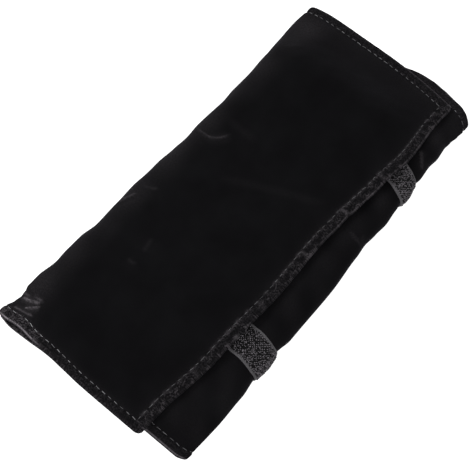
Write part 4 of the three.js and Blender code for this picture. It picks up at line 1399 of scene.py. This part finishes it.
def slip_pocket(node, fold, seam, mouth, elastic_first, elastic_last, body, seed):
    """A velvet pocket gathered on an elastic along its mouth."""
    forward = fold is BACK
    first, last = (seam, mouth) if forward else (mouth, seam)
    grid = panel_grid(fold, first, last, -FITTINGS_END, FITTINGS_END, step=1.3)
    from_seam, from_mouth = grid.x - grid.x[:, :1], grid.x[:, -1:] - grid.x
    if not forward:
        from_seam, from_mouth = from_mouth, from_seam
    hung = smooth(from_seam / 12) * smooth(grid.end_inset / 8)
    folds = 0.32 * gathered(grid, 7.5, seed) * np.exp(-from_mouth / 11) * smooth(grid.end_inset / 5)
    top = -POCKET_DEPTH - (POCKET_SAG * hung * (1 - 0.5 * smooth(1 - from_mouth / 14)) + folds)
    wear = 0.3 * bell(np.minimum(from_seam, grid.end_inset) / 2) + 0.25 * np.exp(-from_mouth / 3)
    cloth = shell(f"{node}_cloth", grid, top, top - POCKET_SHEET, wear=wear)
    finish_piece(cloth, LINING_VELVET, (node,), body)
    band = pocket_elastic(f"{node}_elastic", fold, elastic_first, elastic_last, body, seed)
    lines = seams(grid, top - POCKET_SHEET, [1, -2, np.s_[1:-1, 1 if forward else -2]])
    sewn = sew(node, lines, seed, POCKET_STITCH, body=body)


def zip_cloth(node, columns, heights, seed):
    """Velvet beside the zip, sewn to its tape on one side and to the lining on the other."""
    grid, corner, far = box_grid(node, step=1.0)
    level = np.interp(grid.x, *zip(*heights)) * smooth(grid.end_inset / 6)
    soft = 0.10 * (1 + grid.uneven(22, seed)) * grid.inward(0, 6)
    bottom = FLOOR_LEVEL + level + soft
    height = -bottom - POCKET_SHEET + 0.1
    cloth = shell(f"{node}_cloth", grid, -bottom, height, wear=0.35 * bell(grid.inset / 1.6))
    finish_piece(cloth, LINING_VELVET, (node,), "base")
    places = [np.s_[2:-2, column] for column in columns]
    if far[0] - corner[0] > NARROW_STRIP:
        places += [1, -2]
    return cloth, sew(node, seams(grid, height, places), seed, POCKET_STITCH, body="base")


def zip_tape(side):
    """Woven tape of the zip with a cord along the edge that carries the teeth."""
    node = f"zip_tape_{side}"
    grid, corner, far = box_grid(node, step=0.5)
    by_teeth = far[0] - grid.x if side == "inner" else grid.x - corner[0]
    cord = 0.16 * bell((by_teeth - 2.9) / 0.35)
    ripple = 0.03 * np.cos(2 * math.pi * grid.x / 1.0)
    band = shell(f"{node}_weave", grid, -corner[2], -far[2] + 0.12 - cord - ripple)
    finish_piece(band, ZIP_WEAVE, (node,), "base")
    return band


def dress_rigid(node, material, rounding):
    """Paint a rigid CAD piece and round its sharp edges."""
    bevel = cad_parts[node].modifiers.new("soft_edges", "BEVEL")
    bevel.width = rounding * MM
    bevel.segments = 2
    bevel.limit_method = "ANGLE"
    bevel.angle_limit = math.radians(35)
    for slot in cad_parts[node].material_slots:
        slot.material = material


def make_slip_pockets():
    lean = skew(FITTINGS_END)
    ends = []
    for node in ("flap_pocket", "flap_pocket_elastic"):
        first, last = span(node)
        ends += [first + lean, last - lean]
    skewed = [lambda y, end=end: end + skew(y) for end in ends]
    slip_pocket("flap_pocket", BACK, *skewed, "flap", 91)
    straight = [*span("front_pocket")[::-1], *span("front_pocket_elastic")]
    slip_pocket("front_pocket", FRONT, *straight, "front_panel", 92)


def make_zip_pocket():
    over = ZIP_TAPE_TOP + GAP - FLOOR_LEVEL
    first, last = span("zip_pocket_facing")
    heights = ((first, 0), (first + POCKET_SEAM, over), (last, over))
    facing = zip_cloth("zip_pocket_facing", (1, -2), heights, 93)
    first, last = span("zip_pocket_front")
    heights = ((first, over), (first + 2.4, over + POCKET_SAG), (last - POCKET_SEAM, POCKET_SAG), (last, 0))
    cloth, sewn = zip_cloth("zip_pocket_front", (-2, 1), heights, 94)
    tapes = [zip_tape("inner"), zip_tape("outer")]
    for node in ("teeth_inner", "teeth_outer", "top_stop_inner", "top_stop_outer", "bottom_stop"):
        dress_rigid(f"zip_{node}", ZIP_NYLON, rounding=0.18)
    for node in ("zip_slider", "zip_pull"):
        dress_rigid(node, NICKEL, rounding=0.22)


# Stage

AIM = (2.44, -15.75, 0.0)
EYE = (148.09, -193.88, 554.13)
LENS = 72.36
WORLD_LIGHT = 0.45  # strength of the white world as a light; seen directly it is 1
FLOOR_GLOW = 0.86  # how white the floor is by itself where the camera sees it; the rest is lit and shaded
FLOOR_HALF = 3000
FLOOR_Z = -0.05
LIT = (0, 0, 10)  # what the lights point at
WHITE = (1, 1, 1, 1)


def look_from(obj, eye, aim):
    bpy.context.scene.collection.objects.link(obj)
    obj.location = Vector(eye) * MM
    obj.rotation_euler = (Vector(aim) - Vector(eye)).to_track_quat("-Z", "Y").to_euler()


def make_camera():
    camera = bpy.data.objects.new("camera", bpy.data.cameras.new("camera"))
    camera.data.lens = LENS
    camera.data.sensor_width = 36
    camera.data.clip_start = 0.01
    look_from(camera, EYE, AIM)
    bpy.context.scene.camera = camera


def soft_light(name, eye, size, power):
    light = bpy.data.lights.new(name, "AREA")
    light.shape = "DISK"
    light.size = size * MM
    light.energy = power
    look_from(bpy.data.objects.new(name, light), eye, LIT)


def seen_directly(paint):
    """1 where the camera, a mirror or a clear body looks straight at a surface."""
    rays = paint.add("ShaderNodeLightPath").outputs
    seen = paint.math("MAXIMUM", rays["Is Camera Ray"], rays["Is Glossy Ray"])
    return paint.math("MAXIMUM", seen, rays["Is Transmission Ray"])


def make_world():
    paint = Paint(bpy.data.worlds.new("studio"), "Background")
    paint.shade(Color=WHITE, Strength=paint.ramp(seen_directly(paint), 0, 1, WORLD_LIGHT, 1.0))
    bpy.context.scene.world = paint.owner


def make_floor():
    corners = [(FLOOR_HALF * x, FLOOR_HALF * y, FLOOR_Z) for x, y in ((-1, -1), (1, -1), (1, 1), (-1, 1))]
    floor = mesh_object("floor", corners, [(0, 1, 2, 3)])
    paint = new_paint("floor")
    paint.shade(Base_Color=(0.8, 0.8, 0.8, 1), Roughness=0.9, Specular_IOR_Level=0.0)
    paint.shade(Emission_Color=WHITE, Emission_Strength=paint.times(seen_directly(paint), FLOOR_GLOW))
    floor.data.materials.append(paint.owner)


def make_stage():
    make_camera()
    make_world()
    make_floor()
    soft_light("key", (-560, -90, 600), size=420, power=3.0)
    soft_light("fill", (420, -420, 640), size=500, power=1.6)
    bpy.context.scene.view_settings.view_transform = "Standard"


make_stage()
make_cover()
make_lining()
make_padding()
make_closure()
make_ring_rolls()
make_slip_pockets()
make_zip_pocket()
